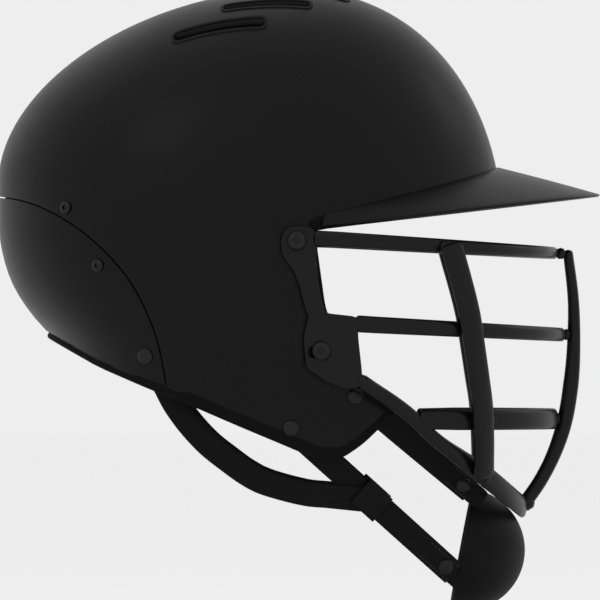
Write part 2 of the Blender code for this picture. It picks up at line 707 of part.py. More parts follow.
def tilt_slot(name, side):
    """The curved slot that the lower screw takes as the grille tilts."""
    arm = np.array(SLOT_SCREW) - np.array(TILT_PIVOT)
    radius, start = np.hypot(*arm), math.atan2(arm[1], arm[0])
    turns = start - np.linspace(-0.2, TILT_RANGE_DEG + 0.2, 5) * math.pi / 180
    line = np.array(TILT_PIVOT) + radius * np.column_stack([np.cos(turns), np.sin(turns)])
    half = SCREW_RADIUS + 0.5
    ahead = unit(line[-1] - line[0])
    ends = [math.atan2(ahead[1], ahead[0]) + a for a in np.linspace(-math.pi / 2, math.pi / 2, 7)]
    tip = [line[-1] + half * np.array([math.cos(a), math.sin(a)]) for a in ends]
    tail = [line[0] - half * np.array([math.cos(a), math.sin(a)]) for a in ends]
    return prism(name, [*tip, *tail], *sorted((side * 95.0, side * 115.0)))


# ---------------------------------------------------------------- chin cup and straps


def cup_point(polar_deg, around_deg, depth=0.0):
    """A point of the cup.  polar is the angle from its front, and around the angle from +Y upwards."""
    polar, around = math.radians(polar_deg), math.radians(around_deg)
    c, s = math.cos(around), math.sin(around)
    across = [math.copysign(abs(v) ** (2 / CUP_POWER), v) * math.sin(polar) for v in (c, s)]
    a, y, u = (CUP_RADII - depth) * np.array([math.cos(polar), *across])
    lean = math.radians(CUP_LEAN_DEG)
    ahead, up = np.array([math.cos(lean), 0, -math.sin(lean)]), np.array([math.sin(lean), 0, math.cos(lean)])
    return CUP_CENTRE + a * ahead + y * np.array([0, 1, 0]) + u * up


def cup_body(name, depth, polars, finish=None, inner=None, columns=24):
    """A solid bowl between the cup's surface at one depth and, if given, an inner depth."""
    arounds = np.linspace(0, 360, columns, endpoint=False)
    rings = [[cup_point(polar, a, depth) for a in arounds] for polar in polars]
    if inner:
        rings += [[cup_point(polar, a, inner) for a in arounds] for polar in polars[::-1]]
    return loft(name, rings, finish)


UPPER_STRAP_END = np.array([119.0, 41.0, -140.3])
LOWER_STRAP_END = np.array([110.0, 45.0, -184.4])
UPPER_STRAP_WALL = [(49.5, -82.5), (56.0, -88.0), (64.0, -94.5)]
LOWER_STRAP_WALL = [(16.5, -100.1), (22.0, -105.0), (28.5, -110.9)]
REAR_STRAP_WALL = [(-58.5, -61.2), (-55.0, -67.0), (-48.3, -78.0)]
REAR_STRAP_FREE = [(-41.6, 93.0, -89.0), (-33.0, 92.8, -101.3), (-22.4, 92.2, -113.0), (-11.2, 91.2, -122.0),
                   (-0.5, 89.8, -129.6), (10.0, 87.8, -134.6)]
JUNCTION_X = 64.0
CUP_TAB_REACH = 8.0
CUP_TAB_LENGTH = 22.0
STUD_FROM_END = 9.0
STRAP_SHORT = 3.0


class StrapLine:
    """A front strap's straight, free stretch on one side: from the shell's edge to its end at the cup."""

    def __init__(self, wall, end, side):
        mirror = np.array([1, side, 1])
        self.end = end * mirror
        self.wall = [side_point(x, z, side, STRAP_DEPTH) for x, z in wall]
        self.ahead = unit(self.end - self.wall[-1])
        self.across = unit(np.array([-self.ahead[2], 0.0, self.ahead[0]]))
        out = unit(np.cross(self.across, self.ahead))
        self.out = out if out[1] * side > 0 else -out

    def at(self, back, sideways=0.0, out=0.0):
        """A point that far back from the strap's end, across it and out of it."""
        return self.end - self.ahead * back + self.across * sideways + self.out * out

    def at_x(self, x):
        return (self.end[0] - x) / self.ahead[0]


def ribbon(name, points, normals, finish, count=18, width=STRAP_WIDTH, thickness=STRAP_THICKNESS):
    """Flat webbing along a smooth curve, with its face turned to the given directions."""
    path = smooth_curve(points, count)
    places = np.linspace(0, len(normals) - 1, count)
    columns = np.array(normals).T
    facing = np.column_stack([np.interp(places, range(len(normals)), column) for column in columns])
    rings = []
    for i, point in enumerate(path):
        ahead = unit(path[min(i + 1, count - 1)] - path[max(i - 1, 0)])
        out = unit(facing[i] - ahead * np.dot(facing[i], ahead)) * thickness / 2
        across = unit(np.cross(ahead, out)) * width / 2
        rings.append([point - across - out, point + across - out, point + across + out, point - across + out])
    return loft(name, rings, finish)


def rivet(name, point, out, layers, head, finish, radius=RIVET_RADIUS):
    """A rivet through layers that reach from layers[0] to layers[1] along out, with a head at both ends."""
    low, high = layers[0] - 0.35, layers[1] + 0.35
    profile = [(low - 1.0, head * 0.7), (low, head * 0.8), (low, radius), (high, radius), (high, head),
               (high + 0.8, head * 0.85), (high + 1.4, head * 0.45)]
    turned(name, profile, point, out, finish, sides=10)


def make_front_straps(finishes, side_name, side):
    """The upper and lower chin straps of one side, their rivets, and the studs that hold them to the cup."""
    lines = {
        "upper": StrapLine(UPPER_STRAP_WALL, UPPER_STRAP_END, side),
        "lower": StrapLine(LOWER_STRAP_WALL, LOWER_STRAP_END, side),
    }
    for place, line in lines.items():
        x, z = STRAP_ANCHORS[place]
        free = [line.at(back) for back in (48.0, 33.0, 18.0, STRAP_SHORT)]
        normals = [side_normal(x, z, side)] * 3 + [line.out] * 4
        strap = ribbon(f"{place}_strap_{side_name}", [*line.wall, *free], normals, finishes["webbing"])
        rivet_hole = normal_hole(f"{place} strap rivet hole {side_name}", (x, z), side, RIVET_RADIUS + 0.35)
        boolean(strap, rivet_hole)
        wall = (-STRAP_DEPTH - STRAP_THICKNESS / 2, 0.0)
        rivet(f"{place}_rivet_{side_name}", side_point(x, z, side), side_normal(x, z, side), wall, 4.4,
              finishes["steel"])
        stud = line.at(STUD_FROM_END)
        hole = turned(f"{place} stud hole {side_name}", [(-8, 2.1), (8, 2.1)], stud, line.out, sides=10)
        boolean(strap, hole)
        tab_back = -tab_offset() - CUP_THICKNESS / 2
        layers = (tab_back, STRAP_THICKNESS / 2)
        rivet(f"{place}_stud_{side_name}", stud, line.out, layers, 4.2, finishes["steel"], 1.7)
    return lines


def tab_offset():
    """Distance between the middle of a strap and the middle of the cup's tab behind it."""
    return STRAP_THICKNESS / 2 + LAYER_GAP + CUP_THICKNESS / 2


def make_cup(finishes, lines):
    """The chin cup with a tab for each front strap, its hollow and its padding."""
    cup = cup_body("chin_cup", 0, [6, 20, 34, 48, 62, 76, 90], finishes["moulding"])
    hollow = cup_body("cup hollow", CUP_THICKNESS, [6, 20, 34, 48, 62, 76, 90, 104])
    for place, line in lines.items():
        low, high = -tab_offset() - CUP_THICKNESS / 2, -tab_offset() + CUP_THICKNESS / 2
        corners = [(-CUP_TAB_REACH, -5.5), (CUP_TAB_LENGTH - CUP_TAB_REACH, -5.5),
                   (CUP_TAB_LENGTH - CUP_TAB_REACH, 5.5), (-CUP_TAB_REACH, 5.5)]
        outline = rounded(corners, 3.0)
        rings = [[line.at(back, across, out) for back, across in outline] for out in (low, high)]
        tab = loft(f"cup tab {place}", rings)
        boolean(cup, tab, "UNION")
    boolean(cup, hollow)
    for place, line in lines.items():
        stud = line.at(STUD_FROM_END)
        boolean(cup, turned(f"cup tab hole {place}", [(-8, 2.1), (2, 2.1)], stud, line.out, sides=10))
    cup_body("chin_cup_pad", CUP_PAD_DEPTHS[0], [6, 22, 38, 54, 70, 85], finishes["foam"], CUP_PAD_DEPTHS[1])


def make_rear_strap(finishes, side_name, side, lower):
    """The strap from behind the ear to the lower strap, and the divider that joins the two."""
    mirror = np.array([1, side, 1])
    lift = STRAP_THICKNESS + 0.8
    junction = lower.at(lower.at_x(JUNCTION_X))
    level = np.array([0.994, 0.0, -0.107])
    level[1] = -np.dot(level, lower.out) / lower.out[1]
    along = unit(level)
    x, z = STRAP_ANCHORS["rear"]
    wall = [side_point(*at, side, STRAP_DEPTH) for at in REAR_STRAP_WALL]
    free = [np.array(p) * mirror for p in REAR_STRAP_FREE]
    last = [junction + lower.out * lift - along * back for back in (38.0, 24.0, 10.0, 0.0)]
    normals = [side_normal(x, z, side)] * 3 + [np.array([0.1, side, -0.1])] * 5 + [lower.out] * 5
    strap = ribbon(f"rear_strap_{side_name}", [*wall, *free, *last], normals, finishes["webbing"], 26)
    boolean(strap, normal_hole(f"rear strap rivet hole {side_name}", (x, z), side, RIVET_RADIUS + 0.35))
    rivet(f"rear_rivet_{side_name}", side_point(x, z, side), side_normal(x, z, side),
          (-STRAP_DEPTH - STRAP_THICKNESS / 2, 0.0), 4.4, finishes["steel"])
    make_divider(finishes, side_name, junction, lower, along, lift)


def box(name, middle, axes, halves, finish=None):
    """A block from its middle, three directions and its half sizes along them."""
    a, b, c = (axis * half for axis, half in zip(axes, halves))
    rings = [[middle + s * a - b - c, middle + s * a + b - c, middle + s * a + b + c, middle + s * a - b + c]
             for s in (-1, 1)]
    return loft(name, rings, finish)


def make_divider(finishes, side_name, junction, lower, along, lift):
    """A plastic divider: the lower strap runs through it, and the rear strap ends in it."""
    axes = (lower.ahead, lower.across, lower.out)
    clear = STRAP_THICKNESS / 2 + 0.5
    low, high = -clear - 1.1, lift + clear + 1.1
    middle = junction + lower.out * (low + high) / 2 - lower.ahead * 1.0
    body = box(f"divider_{side_name}", middle, axes, (8.5, 8.0, (high - low) / 2), finishes["moulding"])
    boolean(body, box(f"divider tunnel {side_name}", junction, axes, (20.0, 6.9, clear)))
    rear_axes = (along, unit(np.cross(lower.out, along)), lower.out)
    pocket = junction + lower.out * lift - along * 14.0
    boolean(body, box(f"divider pocket {side_name}", pocket, rear_axes, (18.0, 7.1, clear)))


# ---------------------------------------------------------------- bodies


def hang_on(name, place, nodes):
    """Parents nodes to an empty on their joint's axis, without moving them."""
    empty = bpy.data.objects.new(name, None)
    empty.location = np.array(place) * MM
    bpy.context.scene.collection.objects.link(empty)
    for node in nodes:
        node.parent = empty
        node.matrix_parent_inverse = Matrix.Translation(-empty.location)


def finishes_of_the_helmet():
    return {
        "shell": material("satin black shell", (0.012, 0.012, 0.013), 0.38),
        "moulding": material("black moulding", (0.016, 0.016, 0.017), 0.5),
        "rubber": material("black rubber", (0.02, 0.02, 0.02), 0.75),
        "mesh": material("vent mesh", (0.025, 0.025, 0.027), 0.6),
        "foam": material("black foam", (0.03, 0.03, 0.032), 0.9),
        "fabric": material("black lining fabric", (0.024, 0.024, 0.026), 0.95),
        "webbing": material("black webbing", (0.02, 0.02, 0.021), 0.85),
        "coated_steel": material("black coated steel", (0.014, 0.014, 0.015), 0.3),
        "steel": material("blackened steel", (0.05, 0.05, 0.055), 0.35, 0.9),
    }


def main():
    for old in list(bpy.data.objects):
        bpy.data.objects.remove(old)
    finishes = finishes_of_the_helmet()
    make_shell(finishes)
    make_peak(finishes)
    make_bead(finishes)
    make_lining(finishes)
    make_pads(finishes)
    make_fixings(finishes)
    make_grille(finishes)
    tabs = {}
    for side_name, side in SIDES.items():
        lines = make_front_straps(finishes, side_name, side)
        tabs |= {f"{place} {side_name}": line for place, line in lines.items()}
        make_rear_strap(finishes, side_name, side, lines["lower"])
    make_cup(finishes, tabs)

    shown = [o for o in bpy.data.objects if o.type == "MESH" and not o.hide_render]
    grille = [o for o in shown if "wire" in o.name or "upright" in o.name or "bracket" in o.name]
    harness = [o for o in shown if o.name.startswith(("chin_cup", "upper_st", "lower_st", "divider"))]
    hang_on("grille_axis", (TILT_PIVOT[0], 0, TILT_PIVOT[1]), grille)
    hang_on("harness_axis", (HARNESS_PIVOT[0], 0, HARNESS_PIVOT[1]), harness)


main()
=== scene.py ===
import json
import math

import bpy
import numpy as np
from mathutils import Matrix, Vector

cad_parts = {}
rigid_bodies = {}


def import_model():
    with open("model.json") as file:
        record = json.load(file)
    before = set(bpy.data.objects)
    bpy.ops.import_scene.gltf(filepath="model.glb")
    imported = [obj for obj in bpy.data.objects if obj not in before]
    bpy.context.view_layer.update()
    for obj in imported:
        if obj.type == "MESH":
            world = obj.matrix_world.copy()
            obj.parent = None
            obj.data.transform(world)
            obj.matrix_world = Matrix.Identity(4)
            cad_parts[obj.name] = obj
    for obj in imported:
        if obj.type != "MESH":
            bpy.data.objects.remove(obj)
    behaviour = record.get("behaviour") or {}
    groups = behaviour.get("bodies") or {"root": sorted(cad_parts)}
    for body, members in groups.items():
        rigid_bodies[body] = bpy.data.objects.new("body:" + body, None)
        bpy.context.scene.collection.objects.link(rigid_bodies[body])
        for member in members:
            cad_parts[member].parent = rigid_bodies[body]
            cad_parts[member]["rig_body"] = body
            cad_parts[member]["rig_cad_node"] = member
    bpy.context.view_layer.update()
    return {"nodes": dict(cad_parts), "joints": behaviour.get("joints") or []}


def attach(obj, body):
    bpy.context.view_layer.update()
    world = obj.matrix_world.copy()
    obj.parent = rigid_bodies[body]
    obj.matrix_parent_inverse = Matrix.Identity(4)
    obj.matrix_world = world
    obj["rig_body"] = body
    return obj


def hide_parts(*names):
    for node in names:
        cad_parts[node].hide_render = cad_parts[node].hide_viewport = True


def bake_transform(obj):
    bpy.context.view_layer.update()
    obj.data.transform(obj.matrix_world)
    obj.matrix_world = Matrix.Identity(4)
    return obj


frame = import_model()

mm = 0.001
sides = {"left": 1.0, "right": -1.0}
mirrorY = np.array([1.0, -1.0, 1.0])
print("loaded", len(frame["nodes"]), "parts of the batting helmet")

# Lengths in the drawing functions are millimetres: x is forwards, y the wearer's left, z up.


# Picking and shaping


def pick(*pieces):
    if bpy.context.object and bpy.context.object.mode == "EDIT":
        bpy.ops.object.mode_set(mode="OBJECT")
    bpy.ops.object.select_all(action="DESELECT")
    for piece in pieces:
        piece.select_set(True)
    if pieces:
        bpy.context.view_layer.objects.active = pieces[0]


def editWhole(piece, *steps):
    # each step is an edit-mode operator and its settings, run on everything
    pick(piece)
    bpy.ops.object.mode_set(mode="EDIT")
    bpy.ops.mesh.select_all(action="SELECT")
    for operator, settings in steps:
        operator(**settings)
    bpy.ops.object.mode_set(mode="OBJECT")


def smoothShade(piece, angle=32):
    pick(piece)
    bpy.ops.object.shade_smooth_by_angle(angle=math.radians(angle))


def drawnAlong(name, rings, loop=False, tube=True):
    # a grid whose rows are laid on rings of points, closed into a tube and capped
    rings = np.asarray(rings, float)
    rows, columns = rings.shape[:2]
    rowCount, columnCount = (rows if loop else rows - 1), (columns if tube else columns - 1)
    pick()
    bpy.ops.mesh.primitive_grid_add(x_subdivisions=rowCount, y_subdivisions=columnCount, size=2)
    piece = bpy.context.object
    piece.name = name
    for point in piece.data.vertices:
        row = round((point.co.x + 1) / 2 * rowCount) % rows
        column = round((point.co.y + 1) / 2 * columnCount) % columns
        point.co = Vector(rings[row, column]) * mm
    steps = [(bpy.ops.mesh.remove_doubles, {"threshold": 1e-6})]
    if tube and not loop:
        steps.append((bpy.ops.mesh.fill_holes, {"sides": 0}))
    steps.append((bpy.ops.mesh.normals_make_consistent, {"inside": False}))
    editWhole(piece, *steps)
    smoothShade(piece)
    return piece


def modify(piece, kind, **settings):
    pick(piece)
    modifier = piece.modifiers.new(kind.lower(), kind)
    for key, value in settings.items():
        setattr(modifier, key, value)
    bpy.ops.object.modifier_apply(modifier=modifier.name)


def carve(piece, *cutters, operation="DIFFERENCE", keep=False):
    for cutter in cutters:
        modify(piece, "BOOLEAN", operation=operation, object=cutter, solver="EXACT")
        if not keep:
            bpy.data.objects.remove(cutter)
    return piece


def softenEdges(piece, width, segments=2, angle=40):
    modify(
        piece, "BEVEL", width=width * mm, segments=segments, limit_method="ANGLE",
        angle_limit=math.radians(angle), harden_normals=False,
    )
    smoothShade(piece)


def joined(name, pieces):
    pick(*pieces)
    bpy.ops.object.join()
    whole = bpy.context.object
    whole.name = name
    return whole


def dress(piece, look, *nodes):
    # gives a piece its finish, and hides the parts it stands for
    piece.data.materials.clear()
    piece.data.materials.append(finishes[look])
    if nodes:
        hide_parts(*nodes)


def hang(piece, body, look, *nodes):
    # dresses a piece that moves with one body
    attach(piece, body)
    dress(piece, look, *nodes)


# Lines


def unit(v):
    return v / np.linalg.norm(v)


def evenly(line, count):
    line = np.asarray(line, float)
    along = np.r_[0, np.cumsum(np.linalg.norm(np.diff(line, axis=0), axis=1))]
    return np.column_stack([np.interp(np.linspace(0, along[-1], count), along, c) for c in line.T])


def smoothLine(points, count):
    p = np.asarray(points, float)
    p = np.vstack([2 * p[0] - p[1], p, 2 * p[-1] - p[-2]])
    fine = []
    for a, b, c, d in zip(p[:-3], p[1:-2], p[2:-1], p[3:]):
        for t in np.linspace(0, 1, 24, endpoint=False):
            bend = (2 * a - 5 * b + 4 * c - d) * t**2 + (3 * b - a - 3 * c + d) * t**3
            fine.append(0.5 * (2 * b + (c - a) * t + bend))
    return evenly([*fine, p[-2]], count)


def curveValue(points, at):
    px, py = np.array(points, float).T
    step = np.diff(px)
    slope = np.diff(py) / step
    inner = np.where(slope[:-1] * slope[1:] > 0, (slope[:-1] + slope[1:]) / 2, 0)
    tangent = np.r_[slope[0], inner, slope[-1]]
    i = int(np.clip(np.searchsorted(px, at) - 1, 0, len(step) - 1))
    t = (at - px[i]) / step[i]
    if t < 0 or t > 1:
        end = 0 if t < 0 else -1
        return float(py[end] + slope[end] * (at - px[end]))
    pull = (1 - t) ** 2 * t * tangent[i] - t**2 * (1 - t) * tangent[i + 1]
    return float((1 + 2 * t) * (1 - t) ** 2 * py[i] + t * t * (3 - 2 * t) * py[i + 1] + step[i] * pull)


def roundCorners(corners, radius, steps=7, closed=True):
    corners = [np.array(c, float) for c in corners]
    count = len(corners)
    out = []
    for i, corner in enumerate(corners):
        if not closed and i in (0, count - 1):
            out.append(corner)
            continue
        toBefore, toAfter = corners[i - 1] - corner, corners[(i + 1) % count] - corner
        before, after = np.linalg.norm(toBefore), np.linalg.norm(toAfter)
        cut = min(radius, 0.45 * before, 0.45 * after)
        start, end = corner + toBefore / before * cut, corner + toAfter / after * cut
        for t in np.linspace(0, 1, steps):
            out.append((1 - t) ** 2 * start + 2 * t * (1 - t) * corner + t * t * end)
    return np.array(out)


def movedSideways(line, amount):
    ahead = np.gradient(np.asarray(line, float), axis=0)
    ahead /= np.linalg.norm(ahead, axis=1)[:, None]
    return np.asarray(line) + amount * np.column_stack([ahead[:, 1], -ahead[:, 0]])


def between(rows, at):
    # a straight reading between the rows of a table
    return float(np.interp(at, *zip(*rows)))


def aheadAt(line, i, loop=False):
    last = len(line) - 1
    before, after = (i - 1, (i + 1) % len(line)) if loop else (max(i - 1, 0), min(i + 1, last))
    return unit(line[after] - line[before])


def squaredTo(ahead, facing):
    # what of a facing direction lies across the way ahead
    return unit(facing - ahead * np.dot(facing, ahead))


def slab(name, outline, low, high):
    # a side-view outline made solid across the helmet
    return drawnAlong(name, [[(x, y, z) for x, z in outline] for y in (low, high)])


# The form that the shell and its lining follow

form = {
    "height": 128.5, "crownX": 21.0, "front": 135.0, "back": -134.0, "halfWidth": 108.0, "widestX": -20.0,
    "planPower": 2.15, "frontPower": 2.15, "backPower": 1.83, "sidePower": 2.2, "frontBelt": -5, "backBelt": 27,
    "backBelow": [
        (-150, -84.0), (-100, -89.5), (-80, -94.5), (-66, -99.5), (-55, -107.5), (-45, -116.3), (-30, -126.0),
        (-13, -131.8), (5, -134.0), (27, -134.0),
    ],
}


def frontX(z):
    belt = form["frontBelt"]
    if z < belt:
        return form["front"]
    share = max(0, 1 - ((z - belt) / (form["height"] - belt)) ** form["frontPower"])
    return form["crownX"] + (form["front"] - form["crownX"]) * share ** (1 / form["frontPower"])


def backX(z):
    belt = form["backBelt"]
    if z < belt:
        return curveValue(form["backBelow"], z)
    share = max(0, 1 - ((z - belt) / (form["height"] - belt)) ** form["backPower"])
    return form["crownX"] + (form["back"] - form["crownX"]) * share ** (1 / form["backPower"])


def halfWidth(z):
    if z < 0:
        return form["halfWidth"] - 6 * (z / 100) ** 2
    share = max(0, 1 - (z / form["height"]) ** form["sidePower"])
    return form["halfWidth"] * share ** (1 / form["sidePower"])


def middleX(z):
    if z < 0:
        return form["widestX"]
    return form["widestX"] + (form["crownX"] - form["widestX"]) * (z / form["height"]) ** 2


def surfaceRing(turns, rise):
    # turn is the plan angle from the front to the left, rise the angle above the brow
    z = form["height"] * (math.sin(rise) if rise > 0 else rise)
    c, s = np.cos(turns), np.sin(turns)
    reach = np.where(c > 0, frontX(z), backX(z)) - middleX(z)
    x = middleX(z) + reach * np.abs(c) ** (2 / form["planPower"])
    y = halfWidth(z) * np.sign(s) * np.abs(s) ** (2 / form["planPower"])
    return np.column_stack([x, y, np.full_like(x, z)])


def formRing(turns, rise, depth=0.0):
    turns, rise, step = np.atleast_1d(turns), min(rise, math.pi / 2 - 0.02), 0.01
    around = surfaceRing(turns + step, rise) - surfaceRing(turns - step, rise)
    upwards = surfaceRing(turns, rise + step) - surfaceRing(turns, rise - step)
    out = np.cross(around, upwards)
    return surfaceRing(turns, rise) - depth * out / np.linalg.norm(out, axis=1)[:, None]


def formPoint(turn, rise, depth=0.0):
    return formRing(turn, rise, depth)[0]


def riseOf(z):
    return math.asin(min(1, z / form["height"])) if z > 0 else z / form["height"]


def sideAngles(x, z, side):
    offset = x - middleX(z)
    reach = (frontX(z) if offset > 0 else backX(z)) - middleX(z)
    share = min(1, offset / reach)
    return side * math.acos(math.copysign(share ** (form["planPower"] / 2), offset)), riseOf(z)


def sidePoint(x, z, side, depth=0.0):
    atX, atZ = x, z
    for _ in range(5):
        point = formPoint(*sideAngles(atX, atZ, side), depth)
        atX, atZ = atX + x - point[0], atZ + z - point[2]
    return point


def sideNormal(x, z, side):
    angles = sideAngles(x, z, side)
    return unit(formPoint(*angles) - formPoint(*angles, 5.0))


def seatOn(at, side):
    # the point of the form at a place in side view, and the way out from it
    return sidePoint(*at, side), sideNormal(*at, side)


def domeSolid(name, depth, lowZ=-140.0, columns=176):
    rises = [*np.linspace(riseOf(lowZ), 0, 25)[:-1], *np.radians(np.linspace(0, 88.0, 45))]
    turns = np.linspace(0, math.tau, columns, endpoint=False)
    rings = [formRing(turns, rise, depth) for rise in rises]
    top = np.array([form["crownX"], 0, formPoint(0, math.pi / 2, depth)[2]])
    base = rings[0].mean(axis=0)
    return drawnAlong(name, [np.tile(base, (columns, 1)), *rings, np.tile(top, (columns, 1))])


# Shader sums


class Signal:
    # wraps an output socket, so that patterns read as sums
    def __init__(self, tree, socket):
        self.tree = tree
        self.socket = socket

    def sum(self, operation, first, second=None):
        node = self.tree.nodes.new("ShaderNodeMath")
        node.operation = operation
        for slot, source in zip(node.inputs, (first, second)):
            if isinstance(source, Signal):
                self.tree.links.new(source.socket, slot)
            elif source is not None:
                slot.default_value = source
        return Signal(self.tree, node.outputs[0])

    def __add__(self, other):
        return self.sum("ADD", self, other)

    def __radd__(self, other):
        return self.sum("ADD", other, self)

    def __sub__(self, other):
        return self.sum("SUBTRACT", self, other)

    def __rsub__(self, other):
        return self.sum("SUBTRACT", other, self)

    def __mul__(self, other):
        return self.sum("MULTIPLY", self, other)

    def __abs__(self):
        return self.sum("ABSOLUTE", self)

    def wave(self):
        return self.sum("SINE", self)

    def steps(self):
        return self.sum("FLOOR", self)

    def above(self, level):
        return self.sum("GREATER_THAN", self, level)

    def clamped(self):
        return self.sum("MINIMUM", self.sum("MAXIMUM", self, 0.0), 1.0)


class Finish:
    # one procedural material, from its constants and what varies over its surface
    def __init__(self, name, **constants):
        self.material = bpy.data.materials.new(name)
        self.material.use_nodes = True
        self.tree = self.material.node_tree
        self.shader = self.tree.nodes["Principled BSDF"]
        for key, value in constants.items():
            self.shader.inputs[key].default_value = value

    def node(self, kind, settings=None, inputs=None, output=0):
        made = self.tree.nodes.new(kind)
        for key, value in (settings or {}).items():
            setattr(made, key, value)
        for key, value in (inputs or {}).items():
            if isinstance(value, Signal):
                self.tree.links.new(value.socket, made.inputs[key])
            else:
                made.inputs[key].default_value = value
        return Signal(self.tree, made.outputs[output])

    def place(self, output="Object"):
        return self.node("ShaderNodeTexCoord", output=output)

    def noise(self, scale, detail=3.0, vector=None):
        return self.node("ShaderNodeTexNoise", None, {
            "Vector": vector or self.place(), "Scale": scale, "Detail": detail, "Roughness": 0.55,
        })

    def stretched(self, scale):
        return self.node("ShaderNodeMapping", None, {"Vector": self.place(), "Scale": scale})

    def feed(self, socket, signal):
        self.tree.links.new(signal.socket, self.shader.inputs[socket])

    def tint(self, factor, look):
        # from the first of the look's two shades to the second, as the factor grows
        first, second = shades[look]
        self.feed("Base Color", self.node(
            "ShaderNodeMix", {"data_type": "RGBA"}, {0: factor, 6: (*first, 1), 7: (*second, 1)}, 2
        ))

    def relief(self, height, distance, strength=1.0):
        self.feed("Normal", self.node(
            "ShaderNodeBump", None, {"Height": height, "Distance": distance * mm, "Strength": strength}
        ))
        return self.material


# Finishes

shades = {
    "shell": ((0.0012, 0.0012, 0.0014), (0.0045, 0.0045, 0.0050)),
    "moulding": ((0.0016, 0.0016, 0.0018), (0.0060, 0.0060, 0.0065)),
    "rubber": ((0.0020, 0.0020, 0.0021), (0.0060, 0.0060, 0.0062)),
    "webbing": ((0.0012, 0.0012, 0.0014), (0.0110, 0.0110, 0.0120)),
    "fabric": ((0.0030, 0.0030, 0.0034), (0.0170, 0.0170, 0.0185)),
    "foam": ((0.0160, 0.0160, 0.0170), (0.0040, 0.0040, 0.0044)),
    "wire": ((0.0012, 0.0012, 0.0014), (0.0045, 0.0045, 0.0050)),
    "steel": ((0.0080, 0.0080, 0.0090), (0.0350, 0.0350, 0.0380)),
    "thread": ((0.010, 0.010, 0.011), (0.030, 0.030, 0.032)),
}


def shellFinish():
    # satin lacquer: fine orange peel, hair scratches and dull handled patches
    satin = Finish("satin black shell", **{"Specular IOR Level": 0.12, "Coat Roughness": 0.22})
    patches = satin.noise(16.0)
    scratches = satin.noise(60.0, 2.0, satin.stretched((1.0, 7.0, 26.0))).above(0.66)
    satin.tint((patches * 0.6 + scratches * 0.35).clamped(), "shell")
    satin.feed("Roughness", 0.34 + patches * 0.16 + scratches * 0.08)
    satin.feed("Coat Weight", 0.09 - patches * 0.06)
    return satin.relief(satin.noise(1150.0, 1.0) + scratches * 0.4, 0.010)


def mouldedFinish():
    # spark-eroded plastic grain
    plastic = Finish("grained black moulding", **{"Specular IOR Level": 0.11})
    grain = plastic.noise(1900.0, 2.0)
    patches = plastic.noise(30.0)
    plastic.tint((patches * 0.5 + grain * 0.4).clamped(), "moulding")
    plastic.feed("Roughness", 0.50 + grain * 0.22)
    return plastic.relief(grain, 0.045)


def rubberFinish():
    rubber = Finish("black rubber trim", **{"Specular IOR Level": 0.08})
    dust = rubber.noise(140.0, 4.0)
    rubber.tint(dust, "rubber")
    rubber.feed("Roughness", 0.70 + dust * 0.2)
    return rubber.relief(rubber.noise(2600.0, 1.0), 0.02)


def webbingFinish():
    # ribbed plain weave: u runs along the strap and v round it, both in centimetres
    webbing = Finish("black woven webbing", **{"Specular IOR Level": 0.07, "Sheen Weight": 0.03})
    uv = webbing.place("UV")
    u = webbing.node("ShaderNodeSeparateXYZ", None, {"Vector": uv}, 0)
    v = webbing.node("ShaderNodeSeparateXYZ", None, {"Vector": uv}, 1)
    picksPerCentimetre, yarnsPerCentimetre = 9.0, 11.0
    picks = u * picksPerCentimetre
    rib = abs((picks * math.pi).wave())
    shifted = v * yarnsPerCentimetre + picks.steps() * 0.5
    yarn = abs((shifted * math.pi).wave())
    height = rib * 0.55 + yarn * 0.45
    fuzz = webbing.noise(900.0, 3.0)
    webbing.tint((height * 0.7 + fuzz * 0.35).clamped(), "webbing")
    webbing.feed("Roughness", 0.82 + fuzz * 0.12)
    return webbing.relief(height, 0.16)


def fabricFinish():
    # open knit over foam, with rows of small holes
    knit = Finish("black knitted lining", **{"Specular IOR Level": 0.07, "Sheen Weight": 0.05})
    cells = knit.node("ShaderNodeTexVoronoi", {"feature": "F1"}, {
        "Vector": knit.place(), "Scale": 620.0, "Randomness": 0.35,
    })
    holes = 1.0 - (cells * 2.1).clamped()
    fuzz = knit.noise(1800.0, 2.0)
    knit.tint((1.0 - holes * 0.8 + fuzz * 0.2 - 0.2).clamped(), "fabric")
    knit.feed("Roughness", 0.88 + fuzz * 0.1)
    return knit.relief(fuzz * 0.3 - holes, 0.30)


def foamFinish(name="black bead foam", scale=330.0):
    foam = Finish(name, **{"Specular IOR Level": 0.08})
    beads = foam.node("ShaderNodeTexVoronoi", {"feature": "F1"}, {"Vector": foam.place(), "Scale": scale})
    pores = foam.noise(1500.0, 3.0)
    foam.tint((beads * 0.8 + pores * 0.3).clamped(), "foam")
    foam.feed("Roughness", 0.82 + pores * 0.15)
    return foam.relief(pores * 0.3 - beads, 0.22)


def wireFinish():
    # thick powder coat over steel wire
    coat = Finish("black coated wire", **{"Specular IOR Level": 0.14, "Coat Roughness": 0.12})
    pebble = coat.noise(720.0, 1.0)
    rubbed = coat.noise(45.0)
    coat.tint(rubbed, "wire")
    coat.feed("Roughness", 0.26 + rubbed * 0.2)
    coat.feed("Coat Weight", 0.16 - rubbed * 0.10)
    return coat.relief(pebble, 0.05)


def steelFinish():
    steel = Finish("blackened steel", **{"Metallic": 0.9})
    brushed = steel.noise(500.0, 3.0, steel.stretched((1.0, 1.0, 9.0)))
    steel.tint(brushed, "steel")
    steel.feed("Roughness", 0.28 + brushed * 0.2)
    return steel.relief(brushed, 0.02)


def threadFinish():
    thread = Finish("black sewing thread", **{"Specular IOR Level": 0.2, "Sheen Weight": 0.1})
    twist = thread.noise(3200.0, 1.0)
    thread.tint(twist, "thread")
    thread.feed("Roughness", 0.6 + twist * 0.3)
    return thread.relief(twist, 0.05)


